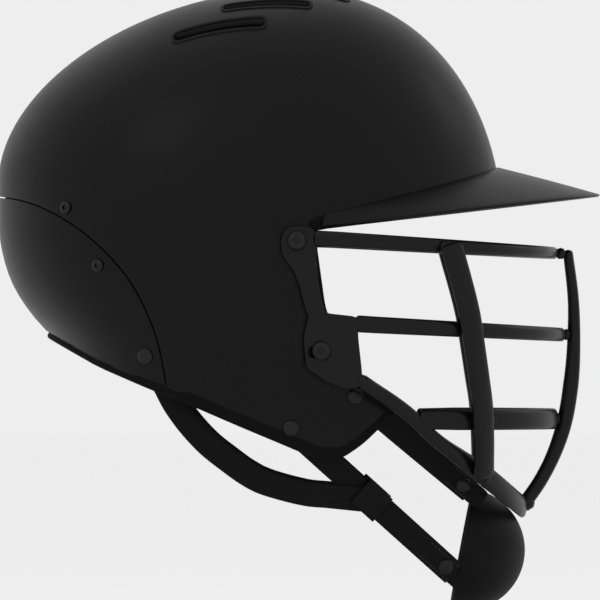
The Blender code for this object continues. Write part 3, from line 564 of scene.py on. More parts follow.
finishes = {
    "shell": shellFinish(), "moulding": mouldedFinish(), "rubber": rubberFinish(), "webbing": webbingFinish(),
    "fabric": fabricFinish(), "foam": foamFinish(), "wire": wireFinish(), "steel": steelFinish(),
    "thread": threadFinish(), "mesh": foamFinish("black vent mesh", 900.0),
}
finishes["piping"] = finishes["thread"]
print("finishes ready:", len(finishes))


# Shell outlines in side view

rim = {
    "bead": 3.0, "corner": 7.0, "backSlope": -0.5537, "thickness": 3.0, "lip": 3.4,
    "ear": [
        (36.0, 1.9), (35.5, -8.0), (40.5, -44.0), (50.0, -60.0), (58.0, -80.0), (80.5, -93.5), (60.0, -113.5),
        (48.0, -121.5), (36.0, -121.5), (16.0, -113.0), (-5.0, -104.2), (-29.0, -93.8), (-53.0, -84.3),
        (-80.0, -72.8), (-104.0, -59.5),
    ],
    "parting": [
        (-150.0, 17.0), (-134.0, 17.2), (-112.0, 12.0), (-88.0, -2.0), (-66.0, -24.0), (-52.0, -50.0),
        (-45.0, -78.0), (-42.0, -110.0),
    ],
    "partingGap": 0.8, "landIn": 0.7, "edgeRound": 0.45, "overBrow": 4.5,
}
vents = {
    "rows": {"inner": (24.0, 8.0, 52.0), "middle": (44.0, -14.0, 32.0), "outer": (62.0, -40.0, 8.0)},
    "half": 3.6, "lipWide": 1.5, "lipTall": 0.55,
}
anchors = {"upper": (56.0, -88.0), "lower": (22.0, -105.0), "rear": (-55.0, -67.0)}
bandScrews = {"crown": (-97.0, 11.5), "guard": (-80.0, -19.0)}
peakScrews = {"left": 40.0, "middle": 0.0, "right": -40.0}
tiltPivot = (25.0, -6.0)
slotScrew = (38.0, -64.0)
holeRadii = {"fixing": 4.2, "rivet": 2.35, "screw": 1.9, "strap": 2.3, "bandStrap": 9.0, "bracket": 2.9, "tab": 2.1}


def peakEdgeZ(x):
    return 0.5 + (x - 37.0) * 0.1145


def browZ(x):
    return peakEdgeZ(x) + rim["overBrow"]


def shellEdge():
    finished = roundCorners([(60.0, browZ(60.0) - rim["bead"]), *rim["ear"]], rim["corner"], closed=False)
    return movedSideways(finished, rim["bead"])


edgeLine = shellEdge()


def backRimZ(x):
    startX, startZ = edgeLine[-1]
    return startZ + (x - startX) * rim["backSlope"]


def belowRim(name):
    outline = [
        (160.0, browZ(160.0)), *edgeLine[1:], (-160.0, backRimZ(-160.0)), (-160.0, -175.0), (160.0, -175.0)
    ]
    return slab(name, outline, -150, 150)


def behindParting(grow):
    edge = movedSideways(smoothLine(rim["parting"], 48), -grow)
    return [*edge, (-42.0, -175.0), (-165.0, -175.0)]


def spun(name, profile, centre, axis, around=28, hexRings=0, ring=False):
    # turned about an axis; the last hexRings rings are drawn in to a hexagon for the key
    axis = unit(np.array(axis, float))
    across = unit(np.cross(axis, (0.13, 0.31, 1.0)))
    up = np.cross(axis, across)
    rings = []
    for i, (along, radius) in enumerate(profile):
        turns = np.linspace(0, math.tau, around, endpoint=False)
        radii = np.full(around, float(radius))
        if i >= len(profile) - hexRings:
            radii = radius * math.cos(math.pi / 6) / np.cos((turns % (math.pi / 3)) - math.pi / 6) * 1.08
        spokes = across * np.cos(turns)[:, None] + up * np.sin(turns)[:, None]
        rings.append(np.array(centre) + axis * along + radii[:, None] * spokes)
    return drawnAlong(name, rings, loop=ring)


def normalHole(name, at, side, radius):
    return spun(name, [(-9.0, radius), (6.0, radius)], *seatOn(at, side), 20)


def levelHole(name, at, side, radius):
    return spun(name, [(60.0, radius), (130.0, radius)], (at[0], 0, at[1]), (0, side, 0), 20)


def peakSeat(turnDeg):
    turn = math.radians(turnDeg)
    z = browZ(formPoint(turn, riseOf(20.0))[0]) + 4.4
    point = formPoint(turn, riseOf(z))
    return point, unit(point - formPoint(turn, riseOf(z), 5.0))


def ventCutter(name, side, row, grow=0.0):
    y, back, front = vents["rows"][row]
    low, high = y - vents["half"] - grow, y + vents["half"] + grow
    back, front = back - grow, front + grow
    outline = roundCorners([(back, low), (front, low), (front, high), (back, high)], vents["half"] + grow)
    return drawnAlong(name, [[(x, side * across, z) for x, across in outline] for z in (55.0, 140.0)])


# Shell: crown and rear guard, with a seam between them over an inner band


def makeShell():
    crown = domeSolid("crownShell", 0)
    carve(crown, domeSolid("crownHollow", rim["thickness"], -139.0), belowRim("crownBelow"))
    guard = crown.copy()
    guard.data = crown.data.copy()
    bpy.context.scene.collection.objects.link(guard)
    guard.name = "rearGuard"
    carve(crown, slab("partingCut", behindParting(rim["partingGap"]), -150, 150))
    carve(guard, slab("partingKept", behindParting(0), -150, 150), operation="INTERSECT")
    cuts = [ventCutter(f"vent{row}{name}", side, row) for name, side in sides.items() for row in vents["rows"]]
    guardCuts = []
    for name, side in sides.items():
        cuts += [levelHole("fixingHole", at, side, holeRadii["fixing"]) for at in (tiltPivot, slotScrew)]
        cuts += [normalHole("rivetHole", anchors[strap], side, holeRadii["rivet"]) for strap in ("upper", "lower")]
        cuts.append(normalHole("screwHole", bandScrews["crown"], side, holeRadii["screw"]))
        guardCuts.append(normalHole("rivetHole", anchors["rear"], side, holeRadii["rivet"]))
        guardCuts.append(normalHole("screwHole", bandScrews["guard"], side, holeRadii["screw"]))
    for turn in peakScrews.values():
        point, out = peakSeat(turn)
        cuts.append(spun("peakHole", [(-8.0, holeRadii["screw"]), (1.0, holeRadii["screw"])], point, out, 16))
    landX = form["back"] + rim["landIn"]
    guardCuts.append(slab("land", [(-150.0, -20.0), (-150.0, 30.0), (landX, 30.0), (landX, -20.0)], -30, 30))
    carve(crown, joined("crownCuts", cuts))
    carve(guard, joined("guardCuts", guardCuts))
    for piece, node in ((crown, "crown_shell"), (guard, "rear_guard")):
        softenEdges(piece, rim["edgeRound"])
        hang(piece, "helmet", "shell", node)


def makeVentBezels():
    # a low moulded lip round each slot
    for name, side in sides.items():
        bezel = joined("bezels", [ventCutter(f"bezel{row}", side, row, vents["lipWide"]) for row in vents["rows"]])
        carve(bezel, domeSolid("bezelOuter", -vents["lipTall"]), operation="INTERSECT")
        carve(bezel, domeSolid("bezelInner", 0.25, -139.0))
        carve(bezel, joined("slots", [ventCutter(f"slot{row}", side, row) for row in vents["rows"]]))
        bezel.name = f"ventBezels{name.title()}"
        softenEdges(bezel, 0.25)
        hang(bezel, "helmet", "moulding")


makeShell()
makeVentBezels()
print("shell made")

# Inner band behind the seam, screwed to both halves

band = {"outer": 3.5, "inner": 5.2, "half": 9.0, "low": -84.0}


def makeBand():
    outer = domeSolid("seamBand", band["outer"], columns=120)
    inner = domeSolid("bandHollow", band["inner"], -139.0, 120)
    ahead = [p for p in behindParting(band["half"])[:48] if p[1] > band["low"]]
    behind = [p for p in behindParting(-band["half"])[:48] if p[1] > band["low"]]
    carve(outer, inner, belowRim("bandBelow"))
    carve(outer, slab("bandKept", [*ahead, *behind[::-1]], -150, 150), operation="INTERSECT")
    screwHoles = [
        normalHole("bandHole", at, side, holeRadii["screw"]) for side in sides.values() for at in bandScrews.values()
    ]
    strapHoles = [
        normalHole("strapHole", anchors["rear"], side, holeRadii["bandStrap"]) for side in sides.values()
    ]
    carve(outer, joined("bandHoles", [*screwHoles, joined("strapHoles", strapHoles)]))
    softenEdges(outer, 0.3, 1)
    hang(outer, "helmet", "moulding", "guard_band")


makeBand()

# Peak, screwed over the brow

peak = {
    "span": 69.0, "rootX": 38.5, "tipX": 186.7, "halfWidth": 105.0, "power": 2.3, "gap": -0.5, "skirt": -2.3,
    "rootZ": 33.5, "rootDrop": 25.5, "dropPower": 1.7, "rootThick": 3.6, "edgeTall": 1.3, "edgeUnder": 0.8,
    "camber": 0.3, "corner": 0.55, "sections": 121,
}


def peakSection(share):
    turn = math.radians(peak["span"]) * share
    rootZ = peak["rootZ"] - peak["rootDrop"] * abs(share) ** peak["dropPower"]
    swing = math.radians(90) * share
    reach = abs(math.cos(swing)) ** (2 / peak["power"])
    edgeY = math.copysign(peak["halfWidth"] * abs(math.sin(swing)) ** (2 / peak["power"]), share)
    edgeX = peak["rootX"] + (peak["tipX"] - peak["rootX"]) * reach
    edge = np.array([edgeX, edgeY, peakEdgeZ(edgeX)])
    root = formPoint(turn, riseOf(rootZ), peak["gap"])
    skirtZ = min(max(browZ(root[0]) + 1.2, edge[2] + 2.0), rootZ - 4.5)
    skirtIn = formPoint(turn, riseOf(skirtZ), peak["gap"])
    skirtOut = formPoint(turn, riseOf(skirtZ), peak["skirt"])
    under = formPoint(turn, riseOf(rootZ - peak["rootThick"]), peak["skirt"])
    inwards = unit(np.array([root[0] - edge[0], root[1] - edge[1], 0.0]))
    upper, lower = edge + np.array([0, 0, peak["edgeTall"]]), edge + inwards * peak["edgeUnder"]
    camber = np.array([0, 0, peak["camber"] * reach])

    def cambered(start, end):
        return [start + (end - start) * t + camber * math.sin(math.pi * t) for t in np.linspace(0, 1, 9)]

    top, bottom = cambered(root, upper), cambered(lower, under)
    corners = [*top[:-1], upper, lower, *bottom[1:], skirtOut, skirtIn]
    return roundCorners(corners, peak["corner"], 3)


def makePeak():
    even = np.linspace(-1, 1, peak["sections"])
    crowded = np.sin(np.linspace(-math.pi / 2, math.pi / 2, peak["sections"]))
    shares = np.sign(crowded) * (0.55 * np.abs(crowded) + 0.45 * np.abs(even))
    piece = drawnAlong("peakShade", [peakSection(share) for share in shares])
    holes = []
    for turn in peakScrews.values():
        point, out = peakSeat(turn)
        holes.append(spun("peakHole", [(0.0, holeRadii["screw"]), (2.6, holeRadii["screw"])], point, out, 20))
    carve(piece, joined("peakHoles", holes))
    hang(piece, "helmet", "shell", "peak")


makePeak()
print("peak made")

# Rubber trim folded over the shell's edge


def rimPoint(turn, line, depth):
    z = 0.0
    for _ in range(30):
        point = formPoint(turn, riseOf(z), depth)
        z += 0.5 * (line(point[0]) - point[2])
    return point


def rimLine(depth):
    brow = [rimPoint(t, browZ, depth) for t in np.radians(np.linspace(0, 62, 32))]
    side = [sidePoint(x, z, 1, depth) for x, z in edgeLine if x > -78 and z < 3.0]
    nape = [rimPoint(t, backRimZ, depth) for t in np.radians(np.linspace(142, 180, 22))]
    return np.array([*brow, *side, *nape])


def makeTrim():
    middle, inner = rimLine(rim["thickness"] / 2), rimLine(rim["thickness"] / 2 + 3)
    path = np.vstack([middle, middle[-2:0:-1] * mirrorY])
    outward = path - np.vstack([inner, inner[-2:0:-1] * mirrorY])
    lip = rim["lip"]
    section = [
        (-1.62, 0.12), (-1.62, -lip), (-1.8, -lip - 0.15), (-2.05, -lip), (-2.1, -1.0), (-2.1, 1.6), (-1.8, 2.4),
        (-1.0, 2.95), (0, 3.05), (1.0, 2.95), (1.8, 2.4), (2.1, 1.6), (2.1, -1.0), (2.05, -lip),
        (1.8, -lip - 0.15), (1.62, -lip), (1.62, 0.12), (0, 0.12),
    ]
    rings = []
    for i, point in enumerate(path):
        ahead = aheadAt(path, i, True)
        out = squaredTo(ahead, outward[i])
        away = np.cross(ahead, out)
        rings.append([point + out * a + away * b for a, b in section])
    piece = drawnAlong("edgeTrim", rings, loop=True)
    hang(piece, "helmet", "rubber", "edge_trim")


makeTrim()
print("trim made")

# Grille: wires, uprights and bent side brackets

grille = {
    "profile": [
        (-152.0, 145.5), (-133.0, 159.0), (-109.0, 170.0), (-85.0, 175.0), (-60.0, 176.3), (-37.0, 175.5),
        (-10.0, 172.0),
    ],
    "halfWidth": [
        (-150.0, 80.0), (-120.0, 90.0), (-95.0, 98.0), (-80.0, 102.8), (-50.0, 105.0), (-5.0, 108.0),
    ],
    "backX": 30.0, "power": 2.1, "deep": 5.0, "uprightDeep": 7.5, "chinTall": 7.5, "layerGap": 0.5, "plate": 2.0,
    "bracketY": [(-80.0, 102.4), (-52.0, 102.4), (-40.0, 103.7), (-22.0, 105.5), (-13.0, 106.5), (4.0, 106.5)],
    "bracketRows": [
        (-84.0, 49.0, 57.0), (-80.0, 40.0, 59.6), (-73.0, 30.0, 59.2), (-57.0, 28.5, 57.4), (-46.2, 31.0, 57.3),
        (-44.4, 30.5, 41.0), (-40.0, 29.0, 38.5), (-30.0, 26.5, 36.6), (-22.0, 23.5, 35.6), (-14.0, 17.5, 35.2),
        (-8.0, 16.5, 35.0), (-2.0, 17.5, 35.0), (1.5, 21.0, 32.0),
    ],
    "chinSide": [
        (60.0, -81.0), (86.3, -99.5), (95.6, -108.8), (115.1, -123.7), (127.8, -133.0), (144.2, -146.6),
    ],
    "sideUpright": [
        (-130.0, 124.3), (-109.0, 124.0), (-93.0, 123.2), (-77.0, 121.0), (-60.0, 118.5), (-45.0, 116.2),
        (-6.5, 106.0),
    ],
    "tiltRange": 4.0, "uprightTall": 7.5, "sideUprightTall": 13.0, "uprightRows": 44,
    "uprightDeeps": [
        (-142.0, 7.5), (-125.0, 7.6), (-104.0, 8.4), (-82.0, 8.4), (-60.0, 7.2), (-40.0, 6.2), (-12.0, 5.4),
    ],
    "wires": {
        "upper": {"start": (35.5, -5.0, -4.8), "line": ((35.0, -4.6), (167.0, -12.6)),
                  "talls": [(35.5, 8.4), (167.0, 6.4)], "foot": (36.0, -4.8, 3.4)},
        "middle": {"start": (58.2, -52.0, -50.0), "line": ((57.0, -50.0), (167.0, -55.8)),
                   "talls": [(58.2, 9.0), (167.0, 7.4)], "foot": (57.6, -50.0, 3.8)},
        "chin": {"start": (60.4, -81.0, -81.2),
                 "talls": [(60.0, 7.5), (104.0, 7.5), (126.0, 11.6), (150.0, 12.0)], "foot": (59.6, -80.8, 3.6)},
        "lower": {"line": ((91.0, -100.6), (167.0, -100.6)), "talls": [(91.0, 10.2), (110.0, 11.2)]},
    },
}

# sizes are half lengths along x, y and z
welds = {
    "crossings": {"upper": (2.0, 2.0, 3.0), "middle": (2.0, 2.0, 3.4), "lower": (2.0, 2.0, 3.4)}, "apart": 5.0,
    "farthestX": 143.0, "chinOut": 2.6, "chin": (3.6, 2.6, 4.2), "foot": (2.8, 2.2),
    "middleFoot": ((147.0, 0, -145.5), (5.0, 5.2, 4.2)),
}


def bracketY(z):
    return between(grille["bracketY"], z)


def wireReach(z):
    behindUpright = grille["uprightDeep"] + grille["layerGap"] + grille["deep"] / 2
    setback = np.interp(z, (-147.0, -128.0), (grille["chinTall"] / 2, behindUpright))
    return curveValue(grille["profile"], z) - setback


def grillePoint(x, z, outwards=0.0):
    length, width = wireReach(z) - grille["backX"], curveValue(grille["halfWidth"], z)
    baseX, power = x, grille["power"]
    for _ in range(4 if outwards else 1):
        share = min(1.0, (baseX - grille["backX"]) / length)
        yShare = max(0.0, 1 - share**power) ** (1 / power)
        out = unit(np.array([share ** (power - 1) / length, yShare ** (power - 1) / width, 0.0]))
        baseX = x - outwards * out[0]
    return np.array([baseX, width * yShare, z]) + outwards * out, out


def wireRod(name, path, outward, heights, depths, around=20, capSteps=4):
    # a wire of soft oval section with domed ends
    path, outward = np.asarray(path, float), np.asarray(outward, float)
    rings = []
    turns = np.linspace(0, math.tau, around, endpoint=False) + math.pi / around
    across01 = np.sign(np.cos(turns)) * np.abs(np.cos(turns)) ** 0.85
    through01 = np.sign(np.sin(turns)) * np.abs(np.sin(turns)) ** 0.85
    frames = []
    for i, point in enumerate(path):
        ahead = aheadAt(path, i)
        out = squaredTo(ahead, outward[i])
        frames.append((point, ahead, out, np.cross(ahead, out)))
    caps = [(math.sin(a), math.cos(a)) for a in np.linspace(0, math.pi / 2 * 0.97, capSteps + 1)[1:]]

    def ring(i, shift, size):
        point, ahead, out, across = frames[i]
        spread = across * heights[i] / 2 * across01[:, None] + out * depths[i] / 2 * through01[:, None]
        return point + ahead * shift * depths[i] * 0.35 + spread * size

    rings += [ring(0, -reach, size) for reach, size in caps[::-1]]
    rings += [ring(i, 0.0, 1.0) for i in range(len(path))]
    rings += [ring(-1, reach, size) for reach, size in caps]
    return drawnAlong(name, rings)


def wireHeight(wire, x):
    if wire == "chin":
        return curveValue(grille["chinSide"], x)
    (x1, z1), (x2, z2) = grille["wires"][wire]["line"]
    return z1 + (x - x1) * (z2 - z1) / (x2 - x1)


def uprightDeep(z):
    return between(grille["uprightDeeps"], z)


def levelPath(wire, start, count=40):
    front = start[0]
    for _ in range(20):
        front = wireReach(wireHeight(wire, front))
    share = np.sin(np.linspace(0, math.pi / 2, count))
    xs = start[0] + (front - start[0]) * share
    left = [grillePoint(x, wireHeight(wire, x)) for x in xs]
    path = [np.array(start), *[p for p, _ in left[1:]]]
    path[1] = (path[0] + path[2]) / 2
    out = [o for _, o in left]
    tall = [between(grille["wires"][wire]["talls"], x) for x in xs]
    path += [p * mirrorY for p in path[-2::-1]]
    out += [o * mirrorY for o in out[-2::-1]]
    return path, out, tall + tall[-2::-1]


def levelWire(wire):
    # a wire from its foot on one bracket round to the other
    if "start" in grille["wires"][wire]:
        x, footZ, z = grille["wires"][wire]["start"]
        start = (x, bracketY(footZ) + grille["plate"] / 2, z)
    else:
        start = tuple(grillePoint(*grille["wires"][wire]["line"][0])[0])
    path, out, tall = levelPath(wire, start)
    rod = wireRod(f"{wire}Wire", path, out, tall, [grille["deep"]] * len(path))
    hang(rod, "grille", "wire", f"{wire}_wire")


def tiltSlot(name, side):
    arm = np.array(slotScrew) - np.array(tiltPivot)
    radius, start = np.hypot(*arm), math.atan2(arm[1], arm[0])
    turns = start - np.radians(np.linspace(-0.2, grille["tiltRange"] + 0.2, 7))
    line = np.array(tiltPivot) + radius * np.column_stack([np.cos(turns), np.sin(turns)])
    ahead = unit(line[-1] - line[0])
    ends = math.atan2(ahead[1], ahead[0]) + np.linspace(-math.pi / 2, math.pi / 2, 13)
    curl = 3.0 * np.column_stack([np.cos(ends), np.sin(ends)])
    return slab(name, [*(line[-1] + curl), *(line[0] - curl)], *sorted((side * 95.0, side * 115.0)))


def weldBead(name, at, size):
    # a small fillet of weld metal where two wires meet, under the coating
    pick()
    bpy.ops.mesh.primitive_uv_sphere_add(segments=16, ring_count=10, radius=1)
    bead = bpy.context.object
    bead.name = name
    for point in bead.data.vertices:
        ripple = 1 + 0.05 * math.sin(9 * math.atan2(point.co.z, point.co.x)) * (1 - abs(point.co.y))
        point.co = Vector(np.array(at) + np.array(point.co) * np.array(size) * ripple) * mm
    smoothShade(bead, 60)
    return bead


def makeGrille():
    for wire in ("upper", "middle", "chin", "lower"):
        levelWire(wire)
    count = grille["uprightRows"]
    rises = np.linspace(-147.0, -12.4, count)
    deeps = [uprightDeep(z) for z in rises]
    front = [
        np.array([curveValue(grille["profile"], z) - deep / 2, 0.0, z]) for z, deep in zip(rises, deeps)
    ]
    middle = wireRod("middleUpright", front, [(1.0, 0, 0)] * count, [grille["uprightTall"]] * count, deeps)
    hang(middle, "grille", "wire", "middle_upright")
    layer = grille["deep"] + grille["layerGap"]
    for name, side in sides.items():
        mirror = np.array([1, side, 1])
        uprightRows = [
            grillePoint(curveValue(grille["sideUpright"], z), z, layer) for z in np.linspace(-130.0, -9.0, count)
        ]
        upright = wireRod(
            f"sideUpright{name.title()}", [p * mirror for p, _ in uprightRows], [o * mirror for _, o in uprightRows],
            [grille["sideUprightTall"]] * count, [grille["deep"]] * count,
        )
        hang(upright, "grille", "wire", f"side_upright_{name}")
        makeBracket(name, side)
        makeWelds(name, side)


def makeBracket(name, side):
    backEdge = [(back, z) for z, back, front in grille["bracketRows"]]
    frontEdge = [(front, z) for z, back, front in grille["bracketRows"]]
    outline = roundCorners([*backEdge, *frontEdge[::-1]], 3.0, 5)
    low = [(x, side * bracketY(z), z) for x, z in outline]
    high = [(x, side * (bracketY(z) + grille["plate"]), z) for x, z in outline]
    plate = drawnAlong(f"sideBracket{name.title()}", [low, high])
    carve(plate, levelHole("bracketHole", tiltPivot, side, holeRadii["bracket"]), tiltSlot("bracketSlot", side))
    softenEdges(plate, 0.35)
    hang(plate, "grille", "wire", f"side_bracket_{name}")


def crossingX(wire):
    # where a level wire passes behind the side upright
    x = 120.0
    for _ in range(12):
        x = min(welds["farthestX"], curveValue(grille["sideUpright"], wireHeight(wire, x)))
    return x


def makeWelds(name, side):
    mirror = np.array([1, side, 1])
    beads = []
    for wire, size in welds["crossings"].items():
        x = crossingX(wire)
        point, out = grillePoint(x, wireHeight(wire, x), (grille["deep"] + grille["layerGap"]) / 2)
        along = unit(np.cross(out, (0, 0, 1.0)))
        beads += [
            weldBead("bead", (point + along * shift) * mirror, size) for shift in (-welds["apart"], welds["apart"])
        ]
    x = crossingX("chin")
    point, out = grillePoint(x, wireHeight("chin", x), welds["chinOut"])
    beads.append(weldBead("bead", point * mirror, welds["chin"]))
    for wire in ("upper", "middle", "chin"):
        x, z, tall = grille["wires"][wire]["foot"]
        y = bracketY(grille["wires"][wire]["start"][1]) + grille["plate"] / 2
        beads.append(weldBead("bead", np.array([x, y, z]) * mirror, (*welds["foot"], tall)))
    if side > 0:
        for wire in welds["crossings"]:
            z = wireHeight(wire, wireReach(-50.0))
            deep = uprightDeep(z)
            gap = grille["uprightDeep"] + grille["layerGap"] - deep
            x = curveValue(grille["profile"], z) - deep - gap / 2
            beads += [weldBead("bead", (x, shift, z), (1.6 + gap / 2, 1.8, 3.0)) for shift in (-3.0, 3.0)]
        beads.append(weldBead("bead", *welds["middleFoot"]))
    hang(joined(f"welds{name.title()}", beads), "grille", "wire")


makeGrille()
print("grille made")

# Screws, nuts and rivets

hardware = {
    "screw": 2.5, "barrel": 3.8, "flange": 5.2, "rivet": 2.0, "rivetHead": 4.4, "stud": 1.7, "studHead": 4.2,
    "strapDepth": 4.9, "strapThick": 1.5,
    "grilleHead": [
        (0.0, 2.5), (0.0, 4.7), (0.2, 4.9), (1.0, 4.85), (1.7, 4.3), (2.1, 3.5), (2.25, 2.6), (2.2, 2.1),
        (2.1, 1.75), (0.7, 1.65),
    ],
    "bandScrew": [
        (-5.0, 1.2), (-4.7, 1.5), (0.35, 1.5), (0.35, 3.2), (0.5, 3.4), (0.9, 3.3), (1.4, 2.7), (1.75, 1.9),
        (1.8, 1.4), (1.75, 1.15), (0.8, 1.1),
    ],
    "peakScrew": [
        (-4.5, 1.2), (-4.2, 1.5), (2.8, 1.5), (2.8, 2.6), (2.95, 2.7), (3.3, 2.6), (3.7, 2.2), (4.0, 1.7),
        (4.05, 1.35), (4.0, 1.12), (3.0, 1.08),
    ],
}


def keyedScrew(use, place, profile, point, out):
    made = spun(f"{use}Screw{place.title()}", profile, point, out, 36, 2)
    hang(made, "helmet", "steel", f"{use}_screw_{place}")


def makeFixings():
    barrel, flange = hardware["barrel"], hardware["flange"]
    for name, side in sides.items():
        for use, (x, z) in (("pivot", tiltPivot), ("slot", slotScrew)):
            plate = bracketY(z)
            seat = sidePoint(x + flange, z, 1, rim["thickness"])[1] - 0.6
            bore, end = hardware["screw"] + 0.3, plate - 0.35
            nut = [
                (seat - 1.4, bore), (seat - 1.4, flange - 0.3), (seat - 1.1, flange), (seat - 0.2, flange),
                (seat, flange - 0.2), (seat, barrel), (end - 0.3, barrel), (end, barrel - 0.3), (end, bore),
            ]
            top = plate + grille["plate"] + grille["layerGap"]
            head = [(top + rise, radius) for rise, radius in hardware["grilleHead"]]
            centre, axis = (x, 0, z), (0, side, 0)
            made = spun(f"{use}Nut{name.title()}", nut, centre, axis, ring=True)
            hang(made, "helmet", "steel", f"{use}_nut_{name}")
            keyedScrew(use, name, [(seat - 0.5, 2.1), (seat - 0.1, 2.5), *head], centre, axis)
        for use, at in bandScrews.items():
            keyedScrew(use, name, hardware["bandScrew"], *seatOn(at, side))
    for place, turn in peakScrews.items():
        keyedScrew("peak", place, hardware["peakScrew"], *peakSeat(turn))


def domedRivet(name, node, body, point, out, layers, head, radius):
    low, high = layers[0] - 0.35, layers[1] + 0.35
    profile = [
        (low - 1.0, head * 0.25), (low - 0.95, head * 0.55), (low - 0.7, head * 0.74), (low - 0.1, head * 0.8),
        (low, head * 0.76), (low, radius), (high, radius), (high, head * 0.96), (high + 0.12, head),
        (high + 0.5, head * 0.95), (high + 0.95, head * 0.8), (high + 1.25, head * 0.56), (high + 1.4, head * 0.2),
    ]
    hang(spun(name, profile, point, out, 32), body, "steel", node)


def makeWallRivets():
    wall = (-hardware["strapDepth"] - hardware["strapThick"] / 2, 0.0)
    for name, side in sides.items():
        for strap, at in anchors.items():
            domedRivet(
                f"{strap}Rivet{name.title()}", f"{strap}_rivet_{name}", "helmet", *seatOn(at, side), wall,
                hardware["rivetHead"], hardware["rivet"],
            )


makeFixings()
makeWallRivets()
print("fixings made")

# Lining: foam liner with air channels, pads and vent mesh

lining = {
    "liner": (6.7, 20.5), "pad": (22.0, 28.5), "ear": (7.2, 23.0), "mesh": (3.8, 4.9), "channelGrow": -1.2,
    "edge": [
        (-150.0, -38.0), (-64.0, -38.0), (-48.0, -20.0), (-30.0, 6.0), (10.0, 8.0), (37.0, 10.0), (150.0, 22.0),
    ],
    "voxel": 2.3, "frames": 14, "pressure": 4.0, "cap": 1.1, "crownCap": 0.77, "cupCap": 0.7, "fill": 0.8,
    "meshWire": 0.7, "meshColumns": (-45.5, 57.5, 67), "meshRows": (16.5, 69.5, 35), "piping": 0.7,
    "linerEdge": 0.8, "shrink": 0.6, "crownRise": 62.2,
    "pads": {
        "brow": ((-52.0, 52.0), (34.0, 11.0), "pad", False), "nape": ((152.0, 208.0), (-16.0, 15.0), "pad", False),
        "temple": ((62.0, 104.0), (36.0, 16.0), "pad", True), "ear": ((73.0, 109.0), (-50.0, 40.0, 2.2), "ear", True),
    },
}


def makeLiner():
    liner = domeSolid("foamLiner", lining["liner"][0], columns=120)
    hollow = domeSolid("linerHollow", lining["liner"][1], -139.0, 120)
    edge = roundCorners(lining["edge"], 8.0, closed=False)
    kept = slab("linerKept", [*edge, (150.0, 150.0), (-150.0, 150.0)], -150, 150)
    carve(liner, hollow)
    carve(liner, kept, operation="INTERSECT")
    channels = [
        ventCutter(f"channel{row}{name}", side, row, lining["channelGrow"])
        for name, side in sides.items() for row in vents["rows"]
    ]
    carve(liner, joined("channels", channels))
    softenEdges(liner, lining["linerEdge"])
    hang(liner, "helmet", "foam", "impact_liner")


def makeVentMesh():
    # woven screen under the slots: a grid of diamonds laid on the form and turned into wires
    for name, side in sides.items():
        xs, ys = np.linspace(*lining["meshColumns"]), np.linspace(*lining["meshRows"])
        depth = sum(lining["mesh"]) / 2
        rings = []
        for x in xs:
            ring = []
            for y in ys:
                turn, rise = math.atan2(side * y, x - 10.0), math.radians(55)
                for _ in range(14):
                    point = formPoint(turn, rise, depth)
                    missX, missY = x - point[0], side * y - point[1]
                    reach = math.hypot(point[0] - middleX(point[2]), point[1])
                    turn += (-missX * math.sin(turn) + missY * math.cos(turn)) / max(reach, 12.0)
                    rise -= (missX * math.cos(turn) + missY * math.sin(turn)) / 130.0
                ring.append(point)
            rings.append(ring)
        screen = drawnAlong(f"ventMesh{name.title()}", rings, tube=False)
        modify(
            screen, "WIREFRAME", thickness=lining["meshWire"] * mm, use_even_offset=True, use_replace=True,
            use_boundary=True,
        )
        hang(screen, "helmet", "mesh", f"vent_mesh_{name}")


def stuffed(piece, cap):
    # blows a pad up gently as cloth, holding each point within the cap
    modify(piece, "REMESH", mode="VOXEL", voxel_size=lining["voxel"] * mm)
    scene = bpy.context.scene
    rest = np.array([v.co for v in piece.data.vertices], float)
    cloth = piece.modifiers.new("cloth", "CLOTH")
    cloth.settings.use_pressure = True
    cloth.settings.uniform_pressure_force = lining["pressure"]
    cloth.settings.effector_weights.gravity = 0
    cloth.point_cache.frame_start, cloth.point_cache.frame_end = 1, lining["frames"]
    for number in range(1, lining["frames"] + 1):
        scene.frame_set(number)
    shown = piece.evaluated_get(bpy.context.evaluated_depsgraph_get())
    swollen = np.array([v.co for v in shown.data.vertices], float)
    piece.modifiers.remove(cloth)
    scene.frame_set(1)
    move = swollen - rest
    length = np.maximum(np.linalg.norm(move, axis=1), 1e-9)
    move *= (np.minimum(length, cap * mm) / length)[:, None]
    for vertex, place in zip(piece.data.vertices, rest + move):
        vertex.co = Vector(place)
    modify(piece, "SMOOTH", factor=0.5, iterations=4)
    modify(piece, "SUBSURF", levels=1, render_levels=1)
    smoothShade(piece, 180)
    return piece


def padRings(turnsDeg, edges, depths, count=25):
    rings, shrink = [], lining["shrink"]
    for share in np.linspace(-1, 1, count):
        turn = math.radians(np.interp(share, (-1, 1), turnsDeg))
        low, high = edges(share)
        zs = np.linspace(low + shrink, high - shrink, 9)
        bulge = np.sin(np.linspace(0.18, math.pi - 0.18, 9)) ** 0.5
        half = (depths[1] - depths[0]) / 2 - shrink * 0.5
        middle = (depths[0] + depths[1]) / 2
        outer = [formPoint(turn, riseOf(z), middle - half * b) for z, b in zip(zs, bulge)]
        inner = [formPoint(turn, riseOf(z), middle + half * b) for z, b in zip(zs[::-1], bulge)]
        rings.append(outer + inner)
    return rings


def oval(middle, halfHeight, power=3.0):
    def edges(share):
        half = halfHeight * max(0.25, (1 - abs(share) ** power) ** (1 / power))
        return middle - half, middle + half
    return edges


